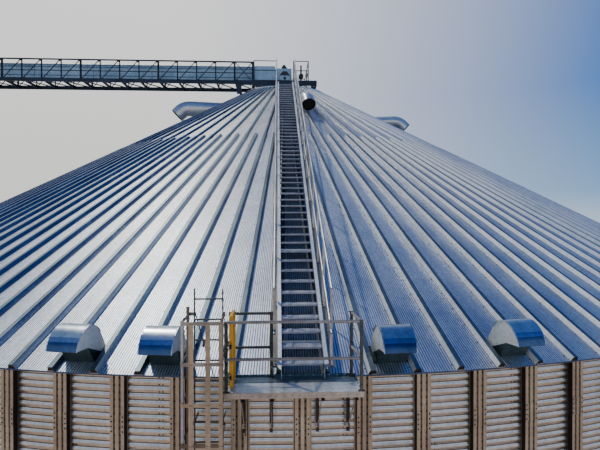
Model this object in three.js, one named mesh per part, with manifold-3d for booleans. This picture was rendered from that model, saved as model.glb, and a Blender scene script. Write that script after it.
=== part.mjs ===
// Galvanised grain silo: corrugated round wall with stiffeners, ribbed conical roof, eave vents,
// exhaust ducts, roof stair, eave platform with a swing gate, caged ladder, peak deck and conveyor bridge.
// Millimetres, +Z up. The origin is at ground level under the middle of the whole outline, and the
// roof stair faces -Y. Pieces are shaped about the silo's own axis, then moved to where it stands.
import * as THREE from "three";
import { mergeVertices } from "three/addons/utils/BufferGeometryUtils.js";
import Module from "manifold-3d";

const wasm = await Module();
wasm.setup();

// Gap left between pieces that touch
const SEAT = 0.3;

// How far a cutting block reaches past the piece it cuts
const CUT_PAST = 100;

// How far bars that are joined run into each other
const INTO = 10;

// The silo's axis, behind the origin by half of what the cage stands out past the vents' lips
const AXIS_Y = 329;

// Wall: forty sheets round, sixteen rings high
const WALL_R = 18290;
const SHEET_COUNT = 40;
const SHEET_ANGLE = 360 / SHEET_COUNT;
const RING_HEIGHT = 1118;
const RING_COUNT = 16;
const CORRUGATION_DEPTH = 24;
const WALL_IN = WALL_R - CORRUGATION_DEPTH / 2;
const WALL_OUT = WALL_R + CORRUGATION_DEPTH / 2;
const WALL_SEGMENTS = 8;

// Stiffeners: three hat posts on each sheet
const STIFFENER_ANGLE = SHEET_ANGLE / 3;
const STIFFENER_BASE = 300;
const STIFFENER_FACE = 220;
const STIFFENER_DEPTH = 85;
const STIFFENER_R = WALL_OUT + STIFFENER_DEPTH;

// Roof cone, measured on the upper face of the pans
const EAVE_Z = RING_HEIGHT * RING_COUNT + 12;
const EAVE_R = 18410;
const ROOF_SLOPE = 0.5566;
const ROOF_COS = 1 / Math.hypot(1, ROOF_SLOPE);
const ROOF_SHEET = 15;
const LAP_R = 8560;
const LOWER_RIBS = 4 * SHEET_COUNT;
const LOWER_RIB_ANGLE = 360 / LOWER_RIBS;
const UPPER_RIB_ANGLE = 2 * LOWER_RIB_ANGLE;
const LOWER_RIB = { base: 150, top: 80, height: 85 };
const UPPER_RIB = { base: 120, top: 56, height: 75 };
const UPPER_FIRST_RIB = LOWER_RIB_ANGLE / 2;
const ROOF_SEGMENTS = 4;

// Peak ring and cap
const RING_R = 2230;
const RING_WALL = 90;
const CAP_Z = EAVE_Z + 9100;
const CAP_T = 20;
const INLET_HALF = 230;
const RING_SIDES = 32;
const RING_FOOT = 60;

// Eave vents, each on the flat between two ribs: the four by the stair, then one on every sheet.
// Profiles run up the slope and away from it, from the lip over the crest to the back.
const VENT_STEP = SHEET_ANGLE;
const VENT_COUNT = 36;
const SHOWN_VENTS = [-11.25, -6.75, 4.5, 11.25];
const VENT_HALF_WIDTH = 247;
const VENT_PLATE = 10;
const VENT_PROFILE = [
  [-50, 478],
  [60, 572],
  [210, 632],
  [390, 628],
  [525, 525],
  [606, 330],
];
const PLAIN_VENT_PROFILE = [
  [-50, 478],
  [210, 632],
  [390, 628],
  [606, 330],
];
// The hollow of a shown vent, which runs out through its foot and its mouth
const VENT_HOLLOW = [
  [603, -50],
  [596, 320],
  [515, 515],
  [380, 618],
  [220, 622],
  [70, 562],
  [-82, 432],
  [150, 300],
  [225, 320],
  [236, -50],
];
const VENT_FRONT_FOOT = 225;
const VENT_FRONT_TOP = [215, 320];
const VENT_BACK_S = 612;
const VENT_FOOT_DROP = 0.7;
const VENT_SUNK = 5;

// Exhaust ducts: azimuth, diameter, and radius and height of the mouth's centre
const DUCTS = [
  { azimuth: 8, diameter: 580, mouthR: 6400, mouthZ: 7150 },
  { azimuth: 78, diameter: 580, mouthR: 6400, mouthZ: 7200 },
  { azimuth: 188, diameter: 580, mouthR: 6400, mouthZ: 7150 },
  { azimuth: 278.5, diameter: 760, mouthR: 5650, mouthZ: 7870 },
];
const DUCT_DROP = 380;
const DUCT_ELBOW = 45;
const DUCT_SHEET = 14;
const DUCT_SIDES = 12;
const DUCT_TAIL = 900;

// Block that trims the ducts under the roof: from and to up the slope, and its thickness
const TRIM_FROM = 9000;
const TRIM_TO = 18000;
const TRIM_DEPTH = 2000;

// Roof stair
const TREAD_RUN = 304;
const TREAD_RISE = TREAD_RUN * ROOF_SLOPE;
const TREAD_DEPTH = 240;
const TREAD_THICK = 32;
const TREAD_COUNT = 53;
const FIRST_TREAD_Y = -18530;
const FIRST_TREAD_Z = EAVE_Z + 230;
const STAIR_HALF = 320;
const STRINGER_T = 30;
const STRINGER_UP = 60;
const STRINGER_DOWN = 60;
const STRINGER_LEAD = 60;
const STRINGER_BEND = 25;
const STAIR_SECTIONS = 3;
const SECTION_TREADS = 20;
const JOINT_BACK = 32;
const TREAD_INTO = 5;
const FIRST_BEARER = 2;
const LAST_BEARER = 49;
const BEARER_EVERY = 8;
const BEARER_OUT = 80;
const BEARER_BAR = 60;
const BEARER_INTO = 20;
const BEARER_LEAST = 30;
const STAIR_RAIL_X = 430;
const STAIR_RAIL_TOP = 1150;
const STAIR_RAIL_MID = 480;
const STAIR_RAIL_LEAD = 40;
const STAIR_RAIL_STOP = 60;
const STAIR_POST_EVERY = 4;
const STAIR_POST_BACK = 30;
const STAIR_POST_DOWN = 60;
const STAIR_POST_HALF = 18;

// Tube and bar sections
const RAIL_R = 21;
const TUBE_SIDES = 6;

// Eave platform
const PLATFORM_LEFT = -1115;
const PLATFORM_RIGHT = 815;
const PLATFORM_REAR = -18450;
const PLATFORM_FRONT = -19140;
const DECK_Z = EAVE_Z + 15;
const DECK_T = 30;
const FRAME_DEPTH = 100;
const FRAME_BAR = 40;
const BRACKET_X = [-890, -479, 225, 695];
const BRACKET_BAR = 50;
const BRACKET_DROP = 870;
const BRACKET_LEG = 30;
const BRACKET_HEAD = 60;
const BRACKET_CLEAR = 15;
const STRUT = 30;
const STRUT_DEPTH = 40;
const STRUT_UP = 120;
const CLEAT_HALF = 40;
const CLEAT_LOW = 100;
const CLEAT_HIGH = 140;
const GUARD_HEIGHT = 965;
const GUARD_MID = 455;
const GUARD_EDGE = 30;
const GUARD_RIGHT_EDGE = 35;
const GUARD_POST_R = RAIL_R + 3;
const GUARD_FROM_STAIR = 45;
const GUARD_TAPER = 40;

// Gate leaf on the platform's left side
const HINGE_X = -1030;
const HINGE_Y = -19045;
const GATE_LENGTH = 470;
const GATE_START = 35;
const GATE_BOTTOM = DECK_Z + 20;
const GATE_TOP = DECK_Z + 1040;
const GATE_T = 50;
const GATE_FRAME = 40;
const GATE_PANEL = 10;
const GATE_PANEL_INSET = 20;
const KNUCKLE_Z = [DECK_Z + 190, DECK_Z + 620];
const KNUCKLE_H = 60;
const KNUCKLE_R = 14;
const KNUCKLE_SIDES = 8;
const HINGE_STRAP = 12;
const HINGE_EAR = 12;

// Caged ladder
const LADDER_X = -1388;
const LADDER_HALF = 205;
const LADDER_Y = -18640;
const LADDER_BAR_X = 14;
const LADDER_BAR_Y = 60;
const RUNG_PITCH = 300;
const RUNG = 26;
const LADDER_FOOT = 250;
const LADDER_TOP = EAVE_Z + 1380;
const TOP_RUNG_DROP = 150;
const STANDOFF_EVERY = 9;
const STANDOFF_FIRST = 6;
const STANDOFF_HALF = 25;
const STANDOFF_BELOW_EAVE = 300;
const CAGE_FOOT = 2300;
const CAGE_TOP = EAVE_Z + 1037;
const CAGE_FRONT_Y = LADDER_Y - 700;
const CAGE_LEFT_X = -1668;
const CAGE_RIGHT_X = -1140;
const CAGE_FRONT_RIGHT_X = -1091;
const CAGE_BAR = 8;
const CAGE_STRAP = 50;
const STRAP_INSET = 1;
const HOOP_PITCH = 1620;
const FRONT_STRAPS = [-1522, -1300, -1131];
const LEFT_STRAPS = [35, 616];
const RIGHT_STRAPS = [330];
const CAGE_BEHIND = 10;

// Braces from the ladder's top back to the flat of the roof between two ribs
const BRACE_PAN = -4.5;
const BRACE_FOOT_S = 700;
const BRACE_FOOT_HALF = 60;
const BRACE_FOOT_N = 3.5;
const BRACE_TOP = EAVE_Z + 1070;
const BRACE_BAR = 45;
const BRACE_T = 8;

// Peak deck and its beams
const DECK_BEAM_TOP = EAVE_Z + 9545;
const DECK_BEAM_DEPTH = 225;
const DECK_BEAM_T = 90;
const PEAK_LEFT = -2450;
const PEAK_RIGHT = 1615;
const PEAK_HALF = 1545;
const PEAK_DECK_T = 25;
const PEAK_RAIL_RIGHT = 1180;
const PEAK_GUARD = 1000;
const PEAK_GUARD_EDGE = 40;
const STAIR_GATE_HALF = 430;
const CROSS_BEAM_X = [PEAK_LEFT, -1700, -620, 460, PEAK_RIGHT - DECK_BEAM_T];
const STUB_X = [1380, -900];
const STUB_HALF = 60;
const ROOF_STUB = 240;
const PAD_X = [PEAK_LEFT, -1700];
const PAD_HALF = 60;
const PAD_CLEAR = 5;
const DECK_END_GAP = 20;
const HEAD_CLEAR = 40;
const INLET_CLEAR = 60;
const NOTCH = 60;

// Small post on the peak deck: place, and radius and height of its pole, drum and stem
const POST_AT = [850, -600];
const POLE = { radius: 40, top: 400 };
const DRUM = { radius: 130, half: 160, height: 480 };
const STEM = { radius: 45, top: 1080 };

// Conveyor and its bridge
const BAY = 985;
const BAY_COUNT = 17;
const BRIDGE_END = -1640;
const BRIDGE_FAR = BRIDGE_END - BAY * BAY_COUNT;
const BRIDGE_HALF = 750;
const CHORD_BOTTOM = EAVE_Z + 9570;
const CHORD_TOP = EAVE_Z + 10750;
const CHORD = 80;
const LOW_CHORD = 190;
const LATTICE = 50;
const LATTICE_THIN = 36;
const LATTICE_END = 80;
const LATTICE_INTO = 60;
const SECTION_BAYS = 4;
const HEAVY_POST = 90;
const FLOOR_BEAM = 70;
const FLOOR_BEAM_UP = 60;
const FLOOR_BRACE = 40;
const FLOOR_BRACE_UP = 90;
const FLOOR_BRACE_IN = 30;
const SADDLE_TOP = EAVE_Z + 9900;
const CASING_TOP = EAVE_Z + 10640;
const CASING_HALF = 300;
const HEAD_LEFT = -1600;
const HEAD_RIGHT = 360;
const HEAD_HALF = 360;
const HEAD_BOTTOM = EAVE_Z + 9720;
const HEAD_TOP = EAVE_Z + 10550;
const SADDLE_IN = 20;
const HOOD_RIGHT = -520;
const HOOD_RISE = 20;
const SPOUT_GAP = 30;
const FLANGE_OUT = 45;
const FLANGE_T = 25;

// Drive on the near side of the head: gearbox with a sloped cover, and an upright motor on top
const GEARBOX_LEFT = -260;
const GEARBOX_RIGHT = 240;
const GEARBOX_LOW = EAVE_Z + 9760;
const GEARBOX_HIGH = EAVE_Z + 10050;
const GEARBOX_OUT = 420;
const COVER_OUT = 300;
const COVER_EDGE = 60;
const COVER_RISE = 240;
const COVER_IN = 150;
const MOTOR_X = -40;
const MOTOR_BASE_HALF = [170, 150];
const MOTOR_BASE_T = 30;
const MOTOR_BODY = { radius: 125, top: 210 };
const MOTOR_FAN = { radius: 80, top: 290 };
const MOTOR_SIDES = 12;

// Materials
function steel(color, roughness, metalness) {
  return new THREE.MeshStandardMaterial({ color, roughness, metalness });
}
const WALL_STEEL = steel(0xa9a6a2, 0.45, 0.85);
const ROOF_STEEL = steel(0xc3c9cf, 0.35, 0.9);
const STAIR_STEEL = steel(0x9fa6ab, 0.45, 0.85);
const LADDER_STEEL = steel(0x6f7672, 0.5, 0.8);
const BRIDGE_STEEL = steel(0x46525e, 0.55, 0.7);
const CONVEYOR_STEEL = steel(0x8fa5b8, 0.45, 0.6);
const DRIVE_PAINT = steel(0x22262a, 0.6, 0.2);
const GATE_PAINT = steel(0xc07a00, 0.5, 0.0);

// Solids from closed three.js geometries, and back
function solidOf(geometry) {
  const bare = geometry.index ? geometry.toNonIndexed() : geometry.clone();
  bare.deleteAttribute("normal");
  bare.deleteAttribute("uv");
  const merged = mergeVertices(bare, 1e-3);
  return new wasm.Manifold(
    new wasm.Mesh({
      numProp: 3,
      vertProperties: new Float32Array(merged.attributes.position.array),
      triVerts: new Uint32Array(merged.index.array),
    }),
  );
}

function join(solids) {
  let row = solids;
  while (row.length > 1) {
    const next = [];
    for (let i = 0; i < row.length; i += 2) {
      next.push(i + 1 < row.length ? row[i].add(row[i + 1]) : row[i]);
    }
    row = next;
  }
  return row[0];
}

const silo = new THREE.Group();

function addPiece(name, solid, material, lift = [0, 0, 0]) {
  const made = solid.getMesh();
  const position = new Float32Array(made.numVert * 3);
  for (let v = 0; v < made.numVert; v += 1) {
    for (let k = 0; k < 3; k += 1) {
      position[3 * v + k] = made.vertProperties[made.numProp * v + k];
    }
  }
  const geometry = new THREE.BufferGeometry();
  geometry.setAttribute("position", new THREE.BufferAttribute(position, 3));
  geometry.setIndex(new THREE.BufferAttribute(new Uint32Array(made.triVerts), 1));
  geometry.computeVertexNormals();
  const mesh = new THREE.Mesh(geometry, material.clone());
  mesh.name = name;
  mesh.position.set(lift[0], lift[1] + AXIS_Y, lift[2]);
  silo.add(mesh);
}

// Basic shapes
function block(x0, x1, y0, y1, z0, z1) {
  const geometry = new THREE.BoxGeometry(x1 - x0, y1 - y0, z1 - z0);
  geometry.translate((x0 + x1) / 2, (y0 + y1) / 2, (z0 + z1) / 2);
  return solidOf(geometry);
}

// A bar between two points: side is its size along `across`, depth the size at right angles to both
function bar(from, to, side, depth, across = [0, 0, 1]) {
  const a = new THREE.Vector3(...from);
  const b = new THREE.Vector3(...to);
  const along = b.clone().sub(a);
  const length = along.length();
  along.normalize();
  const x = new THREE.Vector3(...across);
  x.addScaledVector(along, -x.dot(along)).normalize();
  const y = new THREE.Vector3().crossVectors(along, x);
  const geometry = new THREE.BoxGeometry(side, depth, length);
  const place = new THREE.Matrix4().makeBasis(x, y, along);
  place.setPosition(a.add(b).multiplyScalar(0.5));
  geometry.applyMatrix4(place);
  return solidOf(geometry);
}

function railBar(from, to) {
  return bar(from, to, 2 * RAIL_R, 2 * RAIL_R);
}

function tube(from, to, radius = RAIL_R, sides = TUBE_SIDES) {
  const a = new THREE.Vector3(...from);
  const b = new THREE.Vector3(...to);
  const along = b.clone().sub(a);
  const geometry = new THREE.CylinderGeometry(radius, radius, along.length(), sides);
  const turn = new THREE.Quaternion().setFromUnitVectors(
    new THREE.Vector3(0, 1, 0),
    along.clone().normalize(),
  );
  geometry.applyQuaternion(turn);
  const middle = a.add(b).multiplyScalar(0.5);
  geometry.translate(middle.x, middle.y, middle.z);
  return solidOf(geometry);
}

// A closed outline in the plane of two directions, thickened along the third
function plateFrom(outline, origin, u, v, thickness) {
  const shape = new THREE.Shape(outline.map(([p, q]) => new THREE.Vector2(p, q)));
  const geometry = new THREE.ExtrudeGeometry(shape, { depth: thickness, bevelEnabled: false });
  const x = new THREE.Vector3(...u);
  const y = new THREE.Vector3(...v);
  const z = new THREE.Vector3().crossVectors(x, y);
  const place = new THREE.Matrix4().makeBasis(x, y, z);
  place.setPosition(new THREE.Vector3(...origin));
  geometry.applyMatrix4(place);
  return solidOf(geometry);
}

// Directions round the axis: azimuth 0 faces the stair at -Y
function radians(degrees) {
  return (degrees * Math.PI) / 180;
}

function outward(azimuth) {
  return [Math.sin(radians(azimuth)), -Math.cos(radians(azimuth)), 0];
}

function sideways(azimuth) {
  return [Math.cos(radians(azimuth)), Math.sin(radians(azimuth)), 0];
}

function planPoint(azimuth, radius, across) {
  const e = outward(azimuth);
  const t = sideways(azimuth);
  return [radius * e[0] + across * t[0], radius * e[1] + across * t[1]];
}

function roofZ(radius) {
  return EAVE_Z + ROOF_SLOPE * (EAVE_R - radius);
}

// Wall segments with their stiffeners
function wallSegment(index) {
  const span = 360 / WALL_SEGMENTS;
  const start = (index - 0.5) * span;
  const postCount = span / STIFFENER_ANGLE;
  const outline = [planPoint(start, WALL_OUT, SEAT / 2)];
  for (let i = 0; i < postCount; i += 1) {
    const azimuth = start + (i + 0.5) * STIFFENER_ANGLE;
    outline.push(planPoint(azimuth, WALL_OUT, -STIFFENER_BASE / 2));
    outline.push(planPoint(azimuth, STIFFENER_R, -STIFFENER_FACE / 2));
    outline.push(planPoint(azimuth, STIFFENER_R, STIFFENER_FACE / 2));
    outline.push(planPoint(azimuth, WALL_OUT, STIFFENER_BASE / 2));
  }
  outline.push(planPoint(start + span, WALL_OUT, -SEAT / 2));
  for (let i = postCount; i >= 0; i -= 1) {
    const across = i === postCount ? -SEAT / 2 : i === 0 ? SEAT / 2 : 0;
    outline.push(planPoint(start + i * STIFFENER_ANGLE, WALL_IN, across));
  }
  // The roof's underside is flat from rib to rib, so it dips a little between them
  const reach = Math.hypot(STIFFENER_R, STIFFENER_FACE / 2) / Math.cos(radians(LOWER_RIB_ANGLE / 2));
  const top = roofZ(reach) - ROOF_SHEET / ROOF_COS - SEAT;
  return plateFrom(outline, [0, 0, 0], [1, 0, 0], [0, 1, 0], top);
}

// A sector of ribbed roof from its outer to its inner radius, built panel by panel
function roofSector(start, span, ribAngles, rib, outerR, innerR) {
  const drop = ROOF_SHEET / ROOF_COS;
  const rise = rib.height / ROOF_COS;
  const point = (azimuth, across, radius, up) => [
    ...planPoint(azimuth, radius, across),
    roofZ(radius) + up,
  ];
  const upper = [];
  const lower = [];
  upper.push((r) => point(start, SEAT / 2, r, 0));
  lower.push((r) => point(start, SEAT / 2, r, -drop));
  for (const azimuth of ribAngles) {
    upper.push((r) => point(azimuth, -rib.base / 2, r, 0));
    upper.push((r) => point(azimuth, -rib.top / 2, r, rise));
    upper.push((r) => point(azimuth, rib.top / 2, r, rise));
    upper.push((r) => point(azimuth, rib.base / 2, r, 0));
    lower.push((r) => point(azimuth, 0, r, -drop));
  }
  upper.push((r) => point(start + span, -SEAT / 2, r, 0));
  lower.push((r) => point(start + span, -SEAT / 2, r, -drop));

  const corners = [];
  const face = (...points) => {
    for (let i = 1; i + 1 < points.length; i += 1) {
      corners.push(...points[0], ...points[i], ...points[i + 1]);
    }
  };
  for (let i = 0; i + 1 < upper.length; i += 1) {
    face(upper[i](outerR), upper[i + 1](outerR), upper[i + 1](innerR), upper[i](innerR));
  }
  for (let i = 0; i + 1 < lower.length; i += 1) {
    face(lower[i](outerR), lower[i](innerR), lower[i + 1](innerR), lower[i + 1](outerR));
  }
  for (const radius of [outerR, innerR]) {
    const end = (...points) => face(...(radius === outerR ? points : points.reverse()));
    for (let i = 0; i + 1 < lower.length; i += 1) {
      const under = lower[i](radius);
      const next = lower[i + 1](radius);
      const panStart = upper[4 * i](radius);
      const panEnd = upper[4 * i + 1](radius);
      end(under, next, panEnd, panStart);
      if (i + 2 < lower.length) {
        const ribPoints = [1, 2, 3, 4].map((k) => upper[4 * i + k](radius));
        end(next, ribPoints[1], ribPoints[0]);
        end(next, ribPoints[2], ribPoints[1]);
        end(next, ribPoints[3], ribPoints[2]);
      }
    }
  }
  const first = [upper[0], lower[0]];
  const last = [upper[upper.length - 1], lower[lower.length - 1]];
  face(first[0](outerR), first[0](innerR), first[1](innerR), first[1](outerR));
  face(last[0](outerR), last[1](outerR), last[1](innerR), last[0](innerR));

  const geometry = new THREE.BufferGeometry();
  geometry.setAttribute("position", new THREE.BufferAttribute(new Float32Array(corners), 3));
  return solidOf(geometry);
}

function ribsBetween(first, step, start, span) {
  const angles = [];
  const count = Math.round(span / step);
  const lead = Math.ceil((start - first) / step);
  for (let i = 0; i < count; i += 1) {
    angles.push(first + (lead + i) * step);
  }
  return angles;
}

// Directions on the roof at one azimuth: up the slope and away from it
function slopeFrame(azimuth) {
  const e = outward(azimuth);
  const up = [-e[0] * ROOF_COS, -e[1] * ROOF_COS, ROOF_SLOPE * ROOF_COS];
  const away = [e[0] * ROOF_SLOPE * ROOF_COS, e[1] * ROOF_SLOPE * ROOF_COS, ROOF_COS];
  return { up, away, side: sideways(azimuth) };
}

function ventPlate(azimuth, outline, across, thickness) {
  const { up, away, side } = slopeFrame(azimuth);
  const e = outward(azimuth);
  const origin = [
    EAVE_R * e[0] + across * side[0],
    EAVE_R * e[1] + across * side[1],
    EAVE_Z,
  ];
  return plateFrom(outline, origin, up, away, thickness);
}

function ventOutline(profile, foot) {
  return [[VENT_FRONT_FOOT, foot], VENT_FRONT_TOP, ...profile, [VENT_BACK_S, foot]];
}

function solidVent(azimuth) {
  const outline = ventOutline(PLAIN_VENT_PROFILE, -VENT_SUNK);
  return ventPlate(azimuth, outline, -VENT_HALF_WIDTH, 2 * VENT_HALF_WIDTH);
}

function hollowVent(azimuth) {
  const outline = ventOutline(VENT_PROFILE, -VENT_FOOT_DROP);
  const body = ventPlate(azimuth, outline, -VENT_HALF_WIDTH, 2 * VENT_HALF_WIDTH);
  const inside = VENT_HALF_WIDTH - VENT_PLATE;
  return body.subtract(ventPlate(azimuth, VENT_HOLLOW, -inside, 2 * inside));
}

const upperSheets = [];

function addShell() {
  for (let i = 0; i < WALL_SEGMENTS; i += 1) {
    addPiece(`wall_${i + 1}`, wallSegment(i), WALL_STEEL);
  }
  const lastShown = SHOWN_VENTS[SHOWN_VENTS.length - 1];
  const otherVents = Array.from({ length: VENT_COUNT }, (_, i) => lastShown + (i + 1) * VENT_STEP);
  const span = 360 / ROOF_SEGMENTS;
  for (let i = 0; i < ROOF_SEGMENTS; i += 1) {
    const start = (i - 0.5) * span;
    const ribs = ribsBetween(LOWER_RIB_ANGLE / 2, LOWER_RIB_ANGLE, start, span);
    const sheet = roofSector(start, span, ribs, LOWER_RIB, EAVE_R, LAP_R);
    const inSector = (azimuth) => {
      const from = (((azimuth - start) % 360) + 360) % 360;
      return from < span;
    };
    const vents = otherVents.filter(inSector).map(solidVent);
    addPiece(`roof_lower_${i + 1}`, join([sheet, ...vents]), ROOF_STEEL);
  }
  for (let i = 0; i < ROOF_SEGMENTS; i += 1) {
    const start = (i - 0.5) * span + UPPER_FIRST_RIB + LOWER_RIB_ANGLE;
    const ribs = ribsBetween(UPPER_FIRST_RIB, UPPER_RIB_ANGLE, start, span);
    const sheet = roofSector(start, span, ribs, UPPER_RIB, LAP_R - SEAT, RING_R);
    upperSheets.push(sheet);
    addPiece(`roof_upper_${i + 1}`, sheet, ROOF_STEEL);
  }
  SHOWN_VENTS.forEach((azimuth, i) => {
    addPiece(`eave_vent_${i + 1}`, hollowVent(azimuth), ROOF_STEEL);
  });
}

// Peak ring and flat cap with the inlet hole
function lathe(profile, sides) {
  const points = profile.map(([r, z]) => new THREE.Vector2(r, z));
  const geometry = new THREE.LatheGeometry(points, sides);
  geometry.rotateX(Math.PI / 2);
  return solidOf(geometry);
}

function addPeakShell() {
  // The roof's inner edge is nearest the axis halfway between two ribs
  const outer = RING_R * Math.cos(radians(UPPER_RIB_ANGLE / 2)) - SEAT;
  const inner = outer - RING_WALL;
  const foot = roofZ(RING_R) - RING_FOOT;
  const ring = lathe(
    [
      [inner, foot],
      [outer, foot],
      [outer, CAP_Z],
      [inner, CAP_Z],
      [inner, foot],
    ],
    RING_SIDES,
  );
  addPiece("peak_ring", ring, ROOF_STEEL);
  const disc = lathe(
    [
      [0, CAP_Z + SEAT],
      [outer, CAP_Z + SEAT],
      [outer, CAP_Z + SEAT + CAP_T],
      [0, CAP_Z + SEAT + CAP_T],
    ],
    RING_SIDES,
  );
  const hole = block(
    -INLET_HALF,
    INLET_HALF,
    -INLET_HALF,
    INLET_HALF,
    CAP_Z - CUT_PAST,
    CAP_Z + CUT_PAST,
  );
  addPiece("peak_cap", disc.subtract(hole), ROOF_STEEL);
}

// Exhaust ducts: level body out of the roof, then an elbow turned down to an open mouth
function ductSolid(duct, radius, reach) {
  const e = outward(duct.azimuth);
  const side = sideways(duct.azimuth);
  const elbowR = duct.mouthR - DUCT_DROP;
  const elbowZ = duct.mouthZ + DUCT_DROP;
  const startR = EAVE_R - elbowZ / ROOF_SLOPE - DUCT_TAIL;
  // Centre line points with the radial and upward parts of each ring's upper edge
  const half = radians(DUCT_ELBOW / 2);
  const rings = [
    { r: startR - reach, z: elbowZ, m: [0, 1] },
    { r: elbowR, z: elbowZ, m: [Math.tan(half), 1] },
    { r: duct.mouthR + reach, z: duct.mouthZ - reach, m: [Math.SQRT1_2, Math.SQRT1_2] },
  ];
  const corner = (ring, k) => {
    const angle = (2 * Math.PI * (k + 0.5)) / DUCT_SIDES;
    const across = radius * Math.cos(angle);
    const lift = radius * Math.sin(angle);
    const r = ring.r + lift * ring.m[0];
    return [
      r * e[0] + across * side[0],
      r * e[1] + across * side[1],
      EAVE_Z + ring.z + lift * ring.m[1],
    ];
  };
  const corners = [];
  for (let k = 0; k < DUCT_SIDES; k += 1) {
    for (let i = 0; i + 1 < rings.length; i += 1) {
      const [a, b] = [corner(rings[i], k), corner(rings[i], k + 1)];
      const [c, d] = [corner(rings[i + 1], k), corner(rings[i + 1], k + 1)];
      corners.push(...a, ...b, ...d, ...a, ...d, ...c);
    }
    if (k > 0 && k + 1 < DUCT_SIDES) {
      const [first, last] = [rings[0], rings[rings.length - 1]];
      corners.push(...corner(first, 0), ...corner(first, k + 1), ...corner(first, k));
      corners.push(...corner(last, 0), ...corner(last, k), ...corner(last, k + 1));
    }
  }
  const geometry = new THREE.BufferGeometry();
  geometry.setAttribute("position", new THREE.BufferAttribute(new Float32Array(corners), 3));
  return solidOf(geometry);
}

function addDucts() {
  DUCTS.forEach((duct, i) => {
    const outer = ductSolid(duct, duct.diameter / 2, 0);
    const bore = ductSolid(duct, duct.diameter / 2 - DUCT_SHEET, CUT_PAST);
    const { up, away, side } = slopeFrame(duct.azimuth);
    const e = outward(duct.azimuth);
    const eave = [EAVE_R * e[0], EAVE_R * e[1], EAVE_Z];
    const under = (climb) =>
      eave.map((place, k) => place + up[k] * climb + away[k] * (SEAT - TRIM_DEPTH / 2));
    const underRoof = bar(under(TRIM_FROM), under(TRIM_TO), TRIM_DEPTH, TRIM_DEPTH, side);
    const clearSheets = upperSheets.map((sheet) => sheet.translate([0, 0, 2 * SEAT]));
    const sleeve = [underRoof, ...clearSheets].reduce(
      (rest, cut) => rest.subtract(cut),
      outer.subtract(bore),
    );
    addPiece(`exhaust_duct_${i + 1}`, sleeve, ROOF_STEEL);
  });
}

// Roof stair
function treadY(i) {
  return FIRST_TREAD_Y + i * TREAD_RUN;
}

function treadZ(i) {
  return FIRST_TREAD_Z + i * TREAD_RISE;
}

function nosingZ(y) {
  return FIRST_TREAD_Z + (y - FIRST_TREAD_Y) * ROOF_SLOPE;
}

function addStair() {
  const topY = treadY(TREAD_COUNT - 1) + TREAD_DEPTH;
  const footY = FIRST_TREAD_Y - STRINGER_LEAD;
  const bendY = PLATFORM_REAR + STRINGER_BEND;
  const { up, away } = slopeFrame(0);
  const ribTop = LOWER_RIB.height + SEAT;
  for (let section = 0; section < STAIR_SECTIONS; section += 1) {
    const first = section * SECTION_TREADS;
    const next = Math.min(first + SECTION_TREADS, TREAD_COUNT);
    const lowY = section === 0 ? bendY : treadY(first) - JOINT_BACK + SEAT / 2;
    const highY = next === TREAD_COUNT ? topY : treadY(next) - JOINT_BACK - SEAT / 2;
    const startY = section === 0 ? footY : lowY;
    const shoe = [[footY, DECK_Z + SEAT], [PLATFORM_REAR - STRINGER_BEND, DECK_Z + SEAT]];
    const outline = [
      ...(section === 0 ? shoe : []),
      [lowY, nosingZ(lowY) - STRINGER_DOWN],
      [highY, nosingZ(highY) - STRINGER_DOWN],
      [highY, nosingZ(highY) + STRINGER_UP],
      [startY, nosingZ(startY) + STRINGER_UP],
    ];
    const parts = [-STAIR_HALF - STRINGER_T, STAIR_HALF].map((x) =>
      plateFrom(outline, [x, 0, 0], [0, 1, 0], [0, 0, 1], STRINGER_T),
    );
    for (let i = first; i < next; i += 1) {
      const y = treadY(i);
      const z = treadZ(i);
      const x = STAIR_HALF + TREAD_INTO;
      parts.push(block(-x, x, y, y + TREAD_DEPTH, z - TREAD_THICK, z));
      if (i % BEARER_EVERY !== FIRST_BEARER || i > LAST_BEARER) {
        continue;
      }
      const s = (y + EAVE_R) / ROOF_COS;
      const gap = (z - STRINGER_DOWN - roofZ(-y)) * ROOF_COS;
      const reach = Math.max(gap + BEARER_INTO, ribTop + BEARER_LEAST);
      const at = (n) => [0, -EAVE_R + up[1] * s + away[1] * n, EAVE_Z + up[2] * s + away[2] * n];
      const width = 2 * (STAIR_HALF + BEARER_OUT);
      parts.push(bar(at(ribTop), at(reach), width, BEARER_BAR, [1, 0, 0]));
    }
    addPiece(`stair_flight_${section + 1}`, join(parts), STAIR_STEEL);
  }

  for (const [name, side] of [["stair_rail_left", -1], ["stair_rail_right", 1]]) {
    const x = side * STAIR_RAIL_X;
    const startY = FIRST_TREAD_Y - STAIR_RAIL_LEAD;
    const endY = topY - STAIR_RAIL_STOP;
    const rail = (height) =>
      railBar([x, startY, nosingZ(startY) + height], [x, endY, nosingZ(endY) + height]);
    const pieces = [rail(STAIR_RAIL_TOP), rail(STAIR_RAIL_MID)];
    const inner = STAIR_HALF + STRINGER_T + SEAT;
    for (let i = 0; i < TREAD_COUNT; i += STAIR_POST_EVERY) {
      const y = Math.min(treadY(i) + STAIR_POST_BACK, endY);
      const foot = nosingZ(y) - STAIR_POST_DOWN;
      const half = STAIR_POST_HALF;
      const low = side > 0 ? inner : -STAIR_RAIL_X - half;
      const high = side > 0 ? STAIR_RAIL_X + half : -inner;
      pieces.push(block(low, high, y - half, y + half, foot, nosingZ(y) + STAIR_RAIL_TOP));
    }
    addPiece(name, join(pieces), STAIR_STEEL);
  }
}

// Where the wall's outer face lies in front of the axis, on a stiffener or on the sheet beside it
function onStiffener(x) {
  const azimuth = (Math.asin(x / WALL_R) * 180) / Math.PI;
  const nearest = Math.round(azimuth / STIFFENER_ANGLE) * STIFFENER_ANGLE;
  return Math.abs(x - WALL_R * Math.sin(radians(nearest))) < STIFFENER_FACE / 2;
}

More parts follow.
